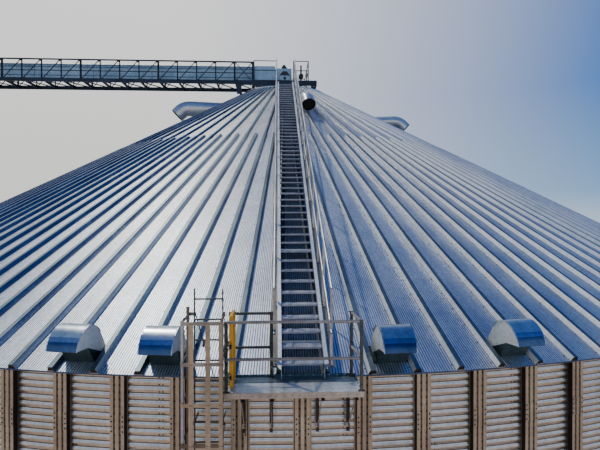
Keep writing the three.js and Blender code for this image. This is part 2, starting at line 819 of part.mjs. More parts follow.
function wallFaceY(x) {
  const azimuth = (Math.asin(x / WALL_R) * 180) / Math.PI;
  if (onStiffener(x)) {
    const post = radians(Math.round(azimuth / STIFFENER_ANGLE) * STIFFENER_ANGLE);
    return (x * Math.sin(post) - STIFFENER_R) / Math.cos(post);
  }
  const half = radians(STIFFENER_ANGLE / 2);
  const middle = radians((Math.floor(azimuth / STIFFENER_ANGLE) + 0.5) * STIFFENER_ANGLE);
  const distance = WALL_OUT * Math.cos(half) + (STIFFENER_BASE / 2) * Math.sin(half);
  return (x * Math.sin(middle) - distance) / Math.cos(middle);
}

// Eave platform, its rails and the gate leaf
function addPlatform() {
  const beamTop = DECK_Z - DECK_T - SEAT;
  const beamLow = DECK_Z - FRAME_DEPTH;
  const frame = [
    [PLATFORM_LEFT, PLATFORM_RIGHT, PLATFORM_FRONT, PLATFORM_FRONT + FRAME_BAR],
    [PLATFORM_LEFT, PLATFORM_RIGHT, PLATFORM_REAR - FRAME_BAR, PLATFORM_REAR],
    [PLATFORM_LEFT, PLATFORM_LEFT + FRAME_BAR, PLATFORM_FRONT, PLATFORM_REAR],
    [PLATFORM_RIGHT - FRAME_BAR, PLATFORM_RIGHT, PLATFORM_FRONT, PLATFORM_REAR],
  ].map((plan) => block(...plan, beamLow, beamTop));
  const footZ = DECK_Z - BRACKET_DROP;
  for (const x of BRACKET_X) {
    const half = BRACKET_BAR / 2;
    const back = Math.min(wallFaceY(x - half), wallFaceY(x + half)) - SEAT;
    const onPost = onStiffener(x);
    const legBack = onPost ? back : -STIFFENER_R - BRACKET_CLEAR;
    const headFront = PLATFORM_REAR - BRACKET_HEAD;
    frame.push(block(x - half, x + half, PLATFORM_REAR - BRACKET_LEG, legBack, footZ, beamLow));
    frame.push(
      block(x - half, x + half, headFront, PLATFORM_REAR, beamLow - BRACKET_HEAD, beamTop),
    );
    const strutFoot = [x, PLATFORM_REAR, footZ + STRUT_UP];
    const strutHead = [x, PLATFORM_FRONT + FRAME_BAR, beamLow + STRUT / 2];
    frame.push(bar(strutFoot, strutHead, STRUT, STRUT_DEPTH, [1, 0, 0]));
    if (!onPost) {
      for (const z of [footZ + CLEAT_LOW, beamLow - CLEAT_HIGH]) {
        const [low, high] = [z - CLEAT_HALF, z + CLEAT_HALF];
        frame.push(block(x - half, x + half, legBack - INTO, back, low, high));
      }
    }
  }
  addPiece("platform_frame", join(frame), STAIR_STEEL);
  const deck = block(
    PLATFORM_LEFT,
    PLATFORM_RIGHT,
    PLATFORM_FRONT,
    PLATFORM_REAR,
    DECK_Z - DECK_T,
    DECK_Z,
  );
  addPiece("platform_deck", deck, STAIR_STEEL);

  const foot = DECK_Z + SEAT;
  const top = DECK_Z + GUARD_HEIGHT;
  const mid = DECK_Z + GUARD_MID;
  const frontY = PLATFORM_FRONT + GUARD_EDGE;
  const rearY = PLATFORM_REAR - GUARD_EDGE;
  const leftX = PLATFORM_LEFT + GUARD_EDGE;
  const rightX = PLATFORM_RIGHT - GUARD_RIGHT_EDGE;
  const besideStair = STAIR_RAIL_X + GUARD_FROM_STAIR;
  const post = (x, y) => tube([x, y, foot], [x, y, top + KNUCKLE_R], GUARD_POST_R);
  const rails = (ax, ay, bx, by) =>
    [top, mid].map((z) => tube([ax, ay, z], [bx, by, z]));
  const rearX = rightX - GUARD_TAPER;
  const guard = [
    post(leftX, frontY),
    post(rightX, frontY),
    post(rearX, rearY),
    ...rails(leftX, frontY, rightX, frontY),
    ...rails(rightX, frontY, rearX, rearY),
  ];
  for (const z of KNUCKLE_Z) {
    for (const [low, high] of [
      [z - KNUCKLE_H / 2 - HINGE_EAR, z - KNUCKLE_H / 2 - SEAT],
      [z + KNUCKLE_H / 2 + SEAT, z + KNUCKLE_H / 2 + HINGE_EAR],
    ]) {
      const [earX, earY] = [HINGE_X + KNUCKLE_R, HINGE_Y + KNUCKLE_R];
      guard.push(block(leftX - INTO, earX, frontY - INTO, earY, low, high));
    }
  }
  addPiece("platform_rail", join(guard), STAIR_STEEL);

  const rear = [
    post(leftX, rearY),
    post(-besideStair, rearY),
    ...rails(leftX, rearY, -besideStair, rearY),
  ];
  addPiece("platform_rear_rail", join(rear), STAIR_STEEL);

  // The leaf is modelled about its hinge line
  const half = GATE_T / 2;
  const end = GATE_START + GATE_LENGTH;
  const lowZ = GATE_BOTTOM - DECK_Z;
  const highZ = GATE_TOP - DECK_Z;
  const leaf = [
    block(-half, half, GATE_START, end, lowZ, lowZ + GATE_FRAME),
    block(-half, half, GATE_START, end, highZ - GATE_FRAME, highZ),
    block(-half, half, GATE_START, GATE_START + GATE_FRAME, lowZ, highZ),
    block(-half, half, end - GATE_FRAME, end, lowZ, highZ),
    block(
      -GATE_PANEL / 2,
      GATE_PANEL / 2,
      GATE_START + GATE_PANEL_INSET,
      end - GATE_PANEL_INSET,
      lowZ + GATE_PANEL_INSET,
      highZ - GATE_PANEL_INSET,
    ),
  ];
  for (const z of KNUCKLE_Z) {
    const low = z - KNUCKLE_H / 2 - DECK_Z;
    const high = z + KNUCKLE_H / 2 - DECK_Z;
    leaf.push(tube([0, 0, low], [0, 0, high], KNUCKLE_R, KNUCKLE_SIDES));
    leaf.push(block(-HINGE_STRAP / 2, HINGE_STRAP / 2, 0, GATE_START + INTO, low, high));
  }
  addPiece("gate_leaf", join(leaf), GATE_PAINT, [HINGE_X, HINGE_Y, DECK_Z]);
}

// Caged ladder
function addLadder() {
  const x0 = LADDER_X - LADDER_HALF;
  const x1 = LADDER_X + LADDER_HALF;
  const halfY = LADDER_BAR_Y / 2;
  const parts = [x0, x1].map((x) =>
    block(
      x - LADDER_BAR_X / 2,
      x + LADDER_BAR_X / 2,
      LADDER_Y - halfY,
      LADDER_Y + halfY,
      LADDER_FOOT,
      LADDER_TOP,
    ),
  );
  const rungCount = Math.floor((LADDER_TOP - TOP_RUNG_DROP - LADDER_FOOT) / RUNG_PITCH);
  const standoffX = LADDER_BAR_X / 2;
  for (let i = 0; i < rungCount; i += 1) {
    const z = LADDER_TOP - TOP_RUNG_DROP - i * RUNG_PITCH;
    const [front, behind] = [LADDER_Y - RUNG / 2, LADDER_Y + RUNG / 2];
    parts.push(block(x0, x1, front, behind, z - RUNG / 2, z + RUNG / 2));
    const atWall = z < EAVE_Z - STANDOFF_BELOW_EAVE;
    if (atWall && i % STANDOFF_EVERY === STANDOFF_FIRST) {
      for (const x of [x0, x1]) {
        const [left, right] = [x - standoffX, x + standoffX];
        const back = Math.min(wallFaceY(left), wallFaceY(right)) - SEAT;
        parts.push(block(left, right, LADDER_Y, back, z - STANDOFF_HALF, z + STANDOFF_HALF));
      }
    }
  }
  const { up, away, side: along } = slopeFrame(BRACE_PAN);
  const e = outward(BRACE_PAN);
  for (const side of [-1, 1]) {
    const base = [0, 1].map((k) => EAVE_R * e[k] + side * LADDER_HALF * along[k]);
    const at = (s, n) => [...base, EAVE_Z].map((place, k) => place + s * up[k] + n * away[k]);
    const low = at(BRACE_FOOT_S - BRACE_FOOT_HALF, BRACE_FOOT_N);
    const high = at(BRACE_FOOT_S + BRACE_FOOT_HALF, BRACE_FOOT_N);
    parts.push(bar(low, high, BRACE_BAR, BRACE_T, along));
    const head = [LADDER_X + side * LADDER_HALF, LADDER_Y, BRACE_TOP];
    parts.push(bar(head, at(BRACE_FOOT_S, BRACE_FOOT_N + BRACE_T), BRACE_T, BRACE_BAR, along));
  }
  addPiece("ladder", join(parts), LADDER_STEEL);

  const rearY = LADDER_Y + CAGE_BEHIND;
  const hoops = [];
  const half = CAGE_STRAP / 2;
  for (let z = CAGE_TOP - half; z > CAGE_FOOT; z -= HOOP_PITCH) {
    hoops.push(z);
  }
  const lowest = hoops[hoops.length - 1] - half + STRAP_INSET;
  const highest = CAGE_TOP - STRAP_INSET;
  const [frontY, frontBack] = [CAGE_FRONT_Y, CAGE_FRONT_Y + CAGE_BAR];
  const front = hoops.map((z) =>
    block(CAGE_LEFT_X, CAGE_FRONT_RIGHT_X, frontY, frontBack, z - half, z + half),
  );
  for (const x of FRONT_STRAPS) {
    const [strapFront, strapBack] = [frontY + STRAP_INSET, frontBack - STRAP_INSET];
    front.push(block(x - half, x + half, strapFront, strapBack, lowest, highest));
  }
  addPiece("cage_front", join(front), STAIR_STEEL);

  const sideFront = CAGE_FRONT_Y + CAGE_BAR + SEAT;
  const side = (low, high, straps) => [
    ...hoops.map((z) => block(low, high, sideFront, rearY, z - half, z + half)),
    ...straps.map((back) => {
      const y = sideFront + back;
      return block(low + STRAP_INSET, high - STRAP_INSET, y - half, y + half, lowest, highest);
    }),
  ];
  const arm = hoops.map((z) =>
    block(CAGE_LEFT_X, x0 - LADDER_BAR_X / 2 - SEAT, rearY - CAGE_BAR, rearY, z - half, z + half),
  );
  const left = side(CAGE_LEFT_X, CAGE_LEFT_X + CAGE_BAR, LEFT_STRAPS);
  addPiece("cage_left", join([...left, ...arm]), STAIR_STEEL);
  const armRight = hoops.map((z) =>
    block(x1 + LADDER_BAR_X / 2 + SEAT, CAGE_RIGHT_X, rearY - CAGE_BAR, rearY, z - half, z + half),
  );
  const right = side(CAGE_RIGHT_X - CAGE_BAR, CAGE_RIGHT_X, RIGHT_STRAPS);
  addPiece("cage_right", join([...right, ...armRight]), STAIR_STEEL);
}

// Peak deck beams, deck, guard rails and the small post that stands on it
function addPeakDeck() {
  const low = DECK_BEAM_TOP - DECK_BEAM_DEPTH;
  const t = DECK_BEAM_T;
  const beams = [
    block(PEAK_LEFT, PEAK_RIGHT, -PEAK_HALF, -PEAK_HALF + t, low, DECK_BEAM_TOP),
    block(PEAK_LEFT, PEAK_RIGHT, PEAK_HALF - t, PEAK_HALF, low, DECK_BEAM_TOP),
  ];
  for (const x of CROSS_BEAM_X) {
    beams.push(block(x, x + t, -PEAK_HALF, PEAK_HALF, low, DECK_BEAM_TOP));
  }
  for (const side of [-1, 1]) {
    const y = side * (PEAK_HALF - t / 2);
    const [near, far] = [y - t / 2, y + t / 2];
    for (const x of STUB_X) {
      const stubFoot = CAP_Z + CAP_T + 2 * SEAT;
      beams.push(block(x - STUB_HALF, x + STUB_HALF, near, far, stubFoot, low));
    }
    const nearR = Math.hypot(PEAK_LEFT + ROOF_STUB, Math.abs(y) - t / 2);
    const roofTop = roofZ(nearR) + UPPER_RIB.height / ROOF_COS + SEAT;
    beams.push(block(PEAK_LEFT, PEAK_LEFT + ROOF_STUB, near, far, roofTop, low));
    for (const x of PAD_X) {
      const middle = side * BRIDGE_HALF;
      const [padNear, padFar] = [middle - PAD_HALF, middle + PAD_HALF];
      beams.push(block(x, x + t, padNear, padFar, low, CHORD_BOTTOM - SEAT));
    }
  }
  addPiece("peak_frame", join(beams), BRIDGE_STEEL);

  const plate = block(
    BRIDGE_END + DECK_END_GAP,
    PEAK_RIGHT,
    -PEAK_HALF,
    PEAK_HALF,
    DECK_BEAM_TOP + SEAT,
    DECK_BEAM_TOP + PEAK_DECK_T,
  );
  const slot = block(
    BRIDGE_END,
    INLET_HALF + INLET_CLEAR,
    -HEAD_HALF - HEAD_CLEAR,
    HEAD_HALF + HEAD_CLEAR,
    DECK_BEAM_TOP - CUT_PAST,
    DECK_BEAM_TOP + CUT_PAST,
  );
  const padNotch = [-1, 1].map((side) =>
    block(
      BRIDGE_END,
      BRIDGE_END + NOTCH,
      side * BRIDGE_HALF - PAD_HALF - PAD_CLEAR,
      side * BRIDGE_HALF + PAD_HALF + PAD_CLEAR,
      DECK_BEAM_TOP - CUT_PAST,
      DECK_BEAM_TOP + CUT_PAST,
    ),
  );
  const deck = plate.subtract(slot).subtract(padNotch[0]).subtract(padNotch[1]);
  addPiece("peak_deck", deck, BRIDGE_STEEL);

  const foot = DECK_BEAM_TOP + PEAK_DECK_T + SEAT;
  const top = foot + PEAK_GUARD;
  const mid = foot + PEAK_GUARD / 2;
  const edge = PEAK_HALF - PEAK_GUARD_EDGE;
  const half = GUARD_POST_R;
  const post = (x, y) => block(x - half, x + half, y - half, y + half, foot, top);
  const run = (ax, ay, bx, by) => [top, mid].map((z) => railBar([ax, ay, z], [bx, by, z]));
  const leftX = BRIDGE_END + NOTCH;
  const left = [
    post(leftX, -edge),
    post(-STAIR_GATE_HALF, -edge),
    ...run(leftX, -edge, -STAIR_GATE_HALF, -edge),
  ];
  addPiece("peak_rail_left", join(left), BRIDGE_STEEL);
  const right = [
    post(STAIR_GATE_HALF, -edge),
    post(PEAK_RAIL_RIGHT, -edge),
    post(PEAK_RAIL_RIGHT, 0),
    post(PEAK_RAIL_RIGHT, edge),
    post(0, edge),
    post(leftX, edge),
    ...run(STAIR_GATE_HALF, -edge, PEAK_RAIL_RIGHT, -edge),
    ...run(PEAK_RAIL_RIGHT, -edge, PEAK_RAIL_RIGHT, edge),
    ...run(PEAK_RAIL_RIGHT, edge, leftX, edge),
  ];
  addPiece("peak_rail_right", join(right), BRIDGE_STEEL);
  const [x, y] = POST_AT;
  const stub = [
    tube([x, y, foot], [x, y, foot + POLE.top], POLE.radius, KNUCKLE_SIDES),
    tube(
      [x, y - DRUM.half, foot + DRUM.height],
      [x, y + DRUM.half, foot + DRUM.height],
      DRUM.radius,
      KNUCKLE_SIDES,
    ),
    tube([x, y, foot + POLE.top], [x, y, foot + STEM.top], STEM.radius, KNUCKLE_SIDES),
  ];
  addPiece("deck_post", join(stub), DRIVE_PAINT);
}

// Conveyor casing, head with its discharge spout, gearbox and motor
function addConveyor() {
  const casing = block(
    BRIDGE_FAR,
    HEAD_LEFT - SEAT,
    -CASING_HALF,
    CASING_HALF,
    SADDLE_TOP + SEAT,
    CASING_TOP,
  );
  addPiece("conveyor_casing", casing, CONVEYOR_STEEL);
  const spoutHalf = INLET_HALF - SPOUT_GAP;
  const flange = INLET_HALF + FLANGE_OUT;
  const capTop = CAP_Z + SEAT + CAP_T + SEAT;
  const head = [
    block(HEAD_LEFT, HEAD_RIGHT, -HEAD_HALF, HEAD_HALF, HEAD_BOTTOM, HEAD_TOP),
    block(HEAD_LEFT, HOOD_RIGHT, -HEAD_HALF, HEAD_HALF, HEAD_TOP - INTO, CASING_TOP + HOOD_RISE),
    block(-spoutHalf, spoutHalf, -spoutHalf, spoutHalf, capTop, HEAD_BOTTOM + INTO),
    block(-flange, flange, -flange, flange, capTop, capTop + FLANGE_T),
  ];
  addPiece("conveyor_head", join(head), CONVEYOR_STEEL);

  const nearFace = -HEAD_HALF - SEAT;
  const box = block(
    GEARBOX_LEFT,
    GEARBOX_RIGHT,
    nearFace - GEARBOX_OUT,
    nearFace,
    GEARBOX_LOW,
    GEARBOX_HIGH,
  );
  const coverOutline = [
    [GEARBOX_LEFT, GEARBOX_HIGH],
    [GEARBOX_RIGHT, GEARBOX_HIGH],
    [GEARBOX_RIGHT, GEARBOX_HIGH + COVER_EDGE],
    [GEARBOX_RIGHT - COVER_IN, GEARBOX_HIGH + COVER_RISE],
    [GEARBOX_LEFT + COVER_IN, GEARBOX_HIGH + COVER_RISE],
    [GEARBOX_LEFT, GEARBOX_HIGH + COVER_EDGE],
  ];
  const cover = plateFrom(coverOutline, [0, nearFace, 0], [1, 0, 0], [0, 0, 1], COVER_OUT);
  addPiece("drive_gearbox", box.add(cover), DRIVE_PAINT);

  const motorFoot = HEAD_TOP + SEAT;
  const [baseX, baseY] = MOTOR_BASE_HALF;
  const motor = [
    block(MOTOR_X - baseX, MOTOR_X + baseX, -baseY, baseY, motorFoot, motorFoot + MOTOR_BASE_T),
    tube(
      [MOTOR_X, 0, motorFoot + INTO],
      [MOTOR_X, 0, motorFoot + MOTOR_BODY.top],
      MOTOR_BODY.radius,
      MOTOR_SIDES,
    ),
    tube(
      [MOTOR_X, 0, motorFoot + MOTOR_BODY.top - INTO],
      [MOTOR_X, 0, motorFoot + MOTOR_FAN.top],
      MOTOR_FAN.radius,
      MOTOR_SIDES,
    ),
  ];
  addPiece("drive_motor", join(motor), DRIVE_PAINT);
}

// Conveyor bridge: two lattice sides and the braced floor between them
function addBridge() {
  for (const [name, side] of [["bridge_front_truss", -1], ["bridge_back_truss", 1]]) {
    const y = side * BRIDGE_HALF;
    const half = CHORD / 2;
    const bars = [
      block(BRIDGE_FAR, BRIDGE_END, y - half, y + half, CHORD_TOP - CHORD, CHORD_TOP),
      block(BRIDGE_FAR, BRIDGE_END, y - half, y + half, CHORD_BOTTOM, CHORD_BOTTOM + LOW_CHORD),
    ];
    const low = CHORD_BOTTOM + LOW_CHORD - LATTICE_INTO;
    const high = CHORD_TOP - CHORD / 2;
    for (let i = 0; i <= BAY_COUNT; i += 1) {
      const heavy = (i - 1) % SECTION_BAYS === 0 || i === 0 || i === BAY_COUNT;
      const w = (heavy ? HEAVY_POST : LATTICE) / 2;
      const centre = BRIDGE_END - i * BAY;
      const x = Math.min(Math.max(centre, BRIDGE_FAR + w), BRIDGE_END - w);
      bars.push(block(x - w, x + w, y - LATTICE / 2, y + LATTICE / 2, low, high));
      if (i === BAY_COUNT) {
        continue;
      }
      const near = centre - LATTICE_END;
      const far = centre - BAY + LATTICE_END;
      bars.push(bar([far, y, low], [near, y, high], LATTICE_THIN, LATTICE, [0, 1, 0]));
      if (i === 0) {
        bars.push(bar([near, y, low], [far, y, high], LATTICE_THIN, LATTICE, [0, 1, 0]));
      }
    }
    addPiece(name, join(bars), BRIDGE_STEEL);
  }
  const inner = BRIDGE_HALF - CHORD / 2 - SEAT;
  const floorTop = CHORD_BOTTOM + LOW_CHORD;
  const half = FLOOR_BEAM / 2;
  const saddle = CASING_HALF - SADDLE_IN;
  const parts = [];
  for (let i = 0; i <= BAY_COUNT; i += 1) {
    const x = Math.min(Math.max(BRIDGE_END - i * BAY, BRIDGE_FAR + half), BRIDGE_END - half);
    parts.push(block(x - half, x + half, -inner, inner, CHORD_BOTTOM + FLOOR_BEAM_UP, floorTop));
    if (i % 2 === 1 || i === 0) {
      parts.push(block(x - half, x + half, -saddle, saddle, floorTop - INTO, SADDLE_TOP));
    }
    if (i < BAY_COUNT) {
      const far = BRIDGE_END - (i + 1) * BAY;
      const z = CHORD_BOTTOM + FLOOR_BRACE_UP;
      const end = inner - FLOOR_BRACE_IN;
      parts.push(bar([x, end, z], [far, -end, z], FLOOR_BRACE, LATTICE));
    }
  }
  addPiece("bridge_underframe", join(parts), BRIDGE_STEEL);
}

addShell();
addPeakShell();
addDucts();
addStair();
addPlatform();
addLadder();
addPeakDeck();
addConveyor();
addBridge();

export default silo;
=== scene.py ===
"""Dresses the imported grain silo: corrugated wall, fluted roof, vents, ducts, stair, platform,
ladder, peak deck and conveyor bridge. Metres, +Z up. Pieces are shaped about the silo's own axis,
which stands AXIS_Y behind the origin, and azimuth 0 faces the stair at -Y."""

import math

import bpy
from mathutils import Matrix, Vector


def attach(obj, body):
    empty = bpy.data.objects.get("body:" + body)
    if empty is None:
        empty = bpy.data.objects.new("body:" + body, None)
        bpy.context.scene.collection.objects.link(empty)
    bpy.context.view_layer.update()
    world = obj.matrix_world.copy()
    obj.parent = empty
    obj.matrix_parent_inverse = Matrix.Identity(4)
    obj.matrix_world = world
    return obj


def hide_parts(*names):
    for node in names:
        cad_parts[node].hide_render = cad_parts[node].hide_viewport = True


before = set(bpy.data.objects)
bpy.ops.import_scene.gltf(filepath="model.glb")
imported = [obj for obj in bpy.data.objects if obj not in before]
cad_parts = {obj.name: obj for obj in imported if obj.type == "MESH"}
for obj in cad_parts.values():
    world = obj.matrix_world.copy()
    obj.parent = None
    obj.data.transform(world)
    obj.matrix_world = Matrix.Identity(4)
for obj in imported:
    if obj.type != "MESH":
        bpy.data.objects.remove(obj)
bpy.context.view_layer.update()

# ---- Driving sizes, as in the solids ----

AXIS_Y = 0.329
WALL_R = 18.290
RING_H = 1.118
RINGS = 16
STIFFENER_STEP = 3.0
EAVE_Z = RINGS * RING_H + 0.012
EAVE_R = 18.410
SLOPE = 0.5566
COS = 1 / math.hypot(1, SLOPE)
SIN = SLOPE * COS
LAP_R = 8.560
RING_R = 2.230
LOWER_STEP = 2.25
UPPER_STEP = 4.5
FIRST_RIB = 1.125
# Width at the foot, width at the top, and height of a rib
LOWER_RIB = (0.150, 0.080, 0.085)
UPPER_RIB = (0.120, 0.056, 0.075)
CAP_Z = EAVE_Z + 9.100

# ---- Nodes and colours ----


def linear(hex_code):
    """An sRGB hex colour as linear RGBA."""
    parts = [int(hex_code[i : i + 2], 16) / 255 for i in (1, 3, 5)]
    return [c / 12.92 if c <= 0.04045 else ((c + 0.055) / 1.055) ** 2.4 for c in parts] + [1.0]


def add_node(tree, kind, inputs=None, stops=(), **settings):
    """Adds a node with its settings and links. An input is a value, or a socket to link from.
    Stops are the places and hex colours along a colour ramp."""
    made = tree.nodes.new(kind)
    for name, value in settings.items():
        setattr(made, name, value)
    for name, value in (inputs or {}).items():
        if isinstance(value, bpy.types.NodeSocket):
            tree.links.new(value, made.inputs[name])
        else:
            made.inputs[name].default_value = value
    if stops:
        band = made.color_ramp.elements
        while len(band) < len(stops):
            band.new(0.5)
        for element, (place, colour) in zip(band, stops):
            element.position = place
            element.color = linear(colour)
    return made


def new_material(name):
    """An empty material, its node tree and its shader."""
    material = bpy.data.materials.new(name)
    material.use_nodes = True
    tree = material.node_tree
    return material, tree, tree.nodes["Principled BSDF"]


# Real zinc crystals are 10 to 20 mm across; drawn at 45 mm so that they show at all
SPANGLE_MM = 45
# Rain streaks down the fall line
STREAK_WIDE_MM = 90
STREAK_LONG_MM = 1600
# Bright and dull patches lie about 1100 mm apart, and dust about 330 mm
PATCHES_PER_M = 0.9
DUST_PER_M = 3.0
# The skin of the zinc is grained at under 1 mm; drawn at about 17 mm so that it shows
GRAIN_PER_M = 60.0
GRAIN_HEIGHT = 0.002
# How far roughness swings between a bright patch and a dull one
PATCH_SWING = 0.25


def unrolled(tree, place):
    """The place on the silo laid flat: round it in widths of a streak, and up in lengths."""
    split = add_node(tree, "ShaderNodeSeparateXYZ", {0: place})
    turn = add_node(
        tree, "ShaderNodeMath", {0: split.outputs[0], 1: split.outputs[1]}, operation="ARCTAN2"
    )
    round_it = add_node(
        tree, "ShaderNodeMath", {0: turn.outputs[0], 1: WALL_R * 1000 / STREAK_WIDE_MM},
        operation="MULTIPLY",
    )
    up = add_node(
        tree, "ShaderNodeMath", {0: split.outputs[2], 1: 1000 / STREAK_LONG_MM},
        operation="MULTIPLY",
    )
    flat = add_node(tree, "ShaderNodeCombineXYZ", {0: round_it.outputs[0], 1: up.outputs[0]})
    return flat.outputs[0]


def galvanised(name, light, mid, dull, roughness, streak, dust=None, dust_amount=0.0,
               metallic=0.9, bump=0.15):
    """Zinc-coated steel: crystals vary the shine, rain leaves soft streaks down the fall line, and
    dust settles in patches."""
    material, tree, shader = new_material(name)
    place = add_node(tree, "ShaderNodeTexCoord").outputs["Object"]
    crystals = add_node(
        tree, "ShaderNodeTexVoronoi",
        {"Vector": place, "Scale": 1000 / SPANGLE_MM, "Randomness": 1.0},
    )
    crystal = add_node(tree, "ShaderNodeSeparateXYZ", {0: crystals.outputs["Color"]})
    streaks = add_node(
        tree, "ShaderNodeTexNoise",
        {"Vector": unrolled(tree, place), "Scale": 1.0, "Detail": 3.0, "Roughness": 0.6},
    )
    patches = add_node(
        tree, "ShaderNodeTexNoise",
        {"Vector": place, "Scale": PATCHES_PER_M, "Detail": 4.0, "Roughness": 0.6},
    ).outputs["Fac"]
    zinc = add_node(
        tree, "ShaderNodeValToRGB", {"Fac": patches}, [(0.3, dull), (0.5, mid), (0.68, light)]
    )
    washed = add_node(
        tree, "ShaderNodeValToRGB", {"Fac": streaks.outputs["Fac"]},
        [(0.3, "#8e8e8e"), (0.5, "#c8c8c8"), (0.7, "#ffffff")],
    )
    streaked = add_node(
        tree, "ShaderNodeMix",
        {"Factor": streak, 6: zinc.outputs["Color"], 7: washed.outputs["Color"]},
        data_type="RGBA", blend_type="MULTIPLY",
    )
    facets = add_node(
        tree, "ShaderNodeValToRGB", {"Fac": crystal.outputs[0]},
        [(0.0, "#d6d6d6"), (1.0, "#ffffff")],
    )
    colour = add_node(
        tree, "ShaderNodeMix",
        {"Factor": 0.6, 6: streaked.outputs[2], 7: facets.outputs["Color"]},
        data_type="RGBA", blend_type="MULTIPLY",
    )
    if dust:
        settled = add_node(
            tree, "ShaderNodeTexNoise", {"Vector": place, "Scale": DUST_PER_M, "Detail": 6.0}
        )
        cover = add_node(
            tree, "ShaderNodeMath", {0: settled.outputs["Fac"], 1: 2 * dust_amount},
            operation="MULTIPLY", use_clamp=True,
        )
        colour = add_node(
            tree, "ShaderNodeMix",
            {"Factor": cover.outputs[0], 6: colour.outputs[2], 7: linear(dust)},
            data_type="RGBA",
        )
    tree.links.new(colour.outputs[2], shader.inputs["Base Color"])
    rough = add_node(
        tree, "ShaderNodeMath",
        {0: patches, 1: PATCH_SWING, 2: roughness - PATCH_SWING / 2}, operation="MULTIPLY_ADD",
    )
    tree.links.new(rough.outputs[0], shader.inputs["Roughness"])
    shader.inputs["Metallic"].default_value = metallic
    grain = add_node(
        tree, "ShaderNodeTexNoise", {"Vector": place, "Scale": GRAIN_PER_M, "Detail": 2.0}
    )
    relief = add_node(
        tree, "ShaderNodeBump",
        {"Height": grain.outputs["Fac"], "Strength": bump, "Distance": GRAIN_HEIGHT},
    )
    tree.links.new(relief.outputs[0], shader.inputs["Normal"])
    return material


# Sheen varies over 400 mm. Real chips are 2 to 5 mm across; drawn about 70 mm apart to show
SHEEN_PER_M = 2.5
CHIPS_PER_M = 14.0
CHIP_LEVEL = 0.66
CHIP_EDGE = 0.04
SHEEN_SWING = 0.2


def enamel(name, colour, worn, roughness):
    """Sprayed enamel on steel: even satin colour, scuffed through in small chips."""
    material, tree, shader = new_material(name)
    place = add_node(tree, "ShaderNodeTexCoord").outputs["Object"]
    sheen = add_node(
        tree, "ShaderNodeTexNoise", {"Vector": place, "Scale": SHEEN_PER_M, "Detail": 4.0}
    ).outputs["Fac"]
    chips = add_node(
        tree, "ShaderNodeTexNoise",
        {"Vector": place, "Scale": CHIPS_PER_M, "Detail": 6.0, "Roughness": 0.7},
    )
    tone = add_node(
        tree, "ShaderNodeValToRGB", {"Fac": sheen}, [(0.3, "#b0b0b0"), (0.7, "#ffffff")]
    )
    coat = add_node(
        tree, "ShaderNodeMix", {"Factor": 0.6, 6: linear(colour), 7: tone.outputs["Color"]},
        data_type="RGBA", blend_type="MULTIPLY",
    )
    chipped = add_node(
        tree, "ShaderNodeMapRange",
        {"Value": chips.outputs["Fac"], "From Min": CHIP_LEVEL, "From Max": CHIP_LEVEL + CHIP_EDGE},
    )
    scuffed = add_node(
        tree, "ShaderNodeMix", {"Factor": chipped.outputs[0], 6: coat.outputs[2], 7: linear(worn)},
        data_type="RGBA",
    )
    tree.links.new(scuffed.outputs[2], shader.inputs["Base Color"])
    rough = add_node(
        tree, "ShaderNodeMath",
        {0: sheen, 1: SHEEN_SWING, 2: roughness - SHEEN_SWING / 2}, operation="MULTIPLY_ADD",
    )
    tree.links.new(rough.outputs[0], shader.inputs["Roughness"])
    return material


# ---- Finishes: name, light, middle and dull colour, roughness, strength of the streaks ----

# Rolled wall sheet: matt zinc with a thin haze of dust; its warm tan is partly painted light
# bounced up from the ground onto the facets that face down
WALL_SHEET = galvanised(
    "galvanised_wall_sheet", "#dbcfbd", "#cfc2b0", "#bbae9b", 0.3, 0.2, "#a69178", 0.06
)
# The facets that face the sky are drawn cool and light as a painted reflection of the sky, so they
# read as a cool light line
WALL_CREST = galvanised(
    "painted_sky_reflection_wall_facet", "#d2d6dc", "#c6cbd2", "#b5bbc4", 0.26, 0.15, metallic=0.78
)
# Painted shade in the trough draws each corrugation as a brown line
WALL_TROUGH = galvanised(
    "painted_shade_wall_trough", "#7d7266", "#6c6156", "#594f45", 0.4, 0.2, metallic=0.8
)
# Folded stiffener: the wall's zinc with more dust on its ridges
STIFFENER_STEEL = galvanised(
    "galvanised_stiffener_steel", "#d2c6b2", "#bcae9a", "#a09381", 0.36, 0.4, "#a08a6e", 0.2
)
# Its flank never sees the sky and stands as a near black edge beside the sheet
FLANK_STEEL = galvanised(
    "shaded_stiffener_flank", "#2e2a25", "#221f1b", "#181613", 0.6, 0.3, metallic=0.6
)
# Its grooves are drawn darker as painted shade and read as brown stripes down the post
GROOVE_STEEL = galvanised(
    "painted_shade_stiffener_groove", "#857564", "#726456", "#5e5247", 0.6, 0.3, metallic=0.6
)
# Roof pan: bright zinc, soft enough to blur the sky that it mirrors
ROOF_SHEET = galvanised(
    "galvanised_roof_pan", "#e6ecf2", "#dde5ed", "#d2dce6", 0.50, 0.15, metallic=1.0
)
# The inner tier is duller and catches more of the sun
UPPER_SHEET = galvanised(
    "galvanised_inner_pan", "#eef1f3", "#e4e8ec", "#d6dce2", 0.5, 0.15, metallic=0.72
)
# Painted shade in the flutes draws each one as a fine dark line
FLUTE_SHADE = galvanised(
    "painted_shade_flute_groove", "#8aa5c2", "#7995b5", "#6783a6", 0.4, 0.3, metallic=1.0
)
# The rib's flat top is drawn as a plain grey band
RIB_TOP = galvanised(
    "grey_rib_top", "#7b8c96", "#6d7e88", "#5e6f79", 0.45, 0.3, metallic=0.9
)
# One flank is drawn near white and less metallic, a painted highlight that shows as a white line
# down the roof
RIB_BRIGHT = galvanised(
    "bright_rib_flank", "#fbfcfc", "#f4f6f7", "#e9ecee", 0.4, 0.1, metallic=0.6
)
# The other flank's base is tinted blue grey, a painted reflection of the deep sky, which gives the
# roof its dark blue lines
RIB_DEEP = galvanised(
    "mirror_rib_flank", "#74839a", "#62728b", "#51617b", 0.24, 0.2, metallic=0.85, bump=0.05
)
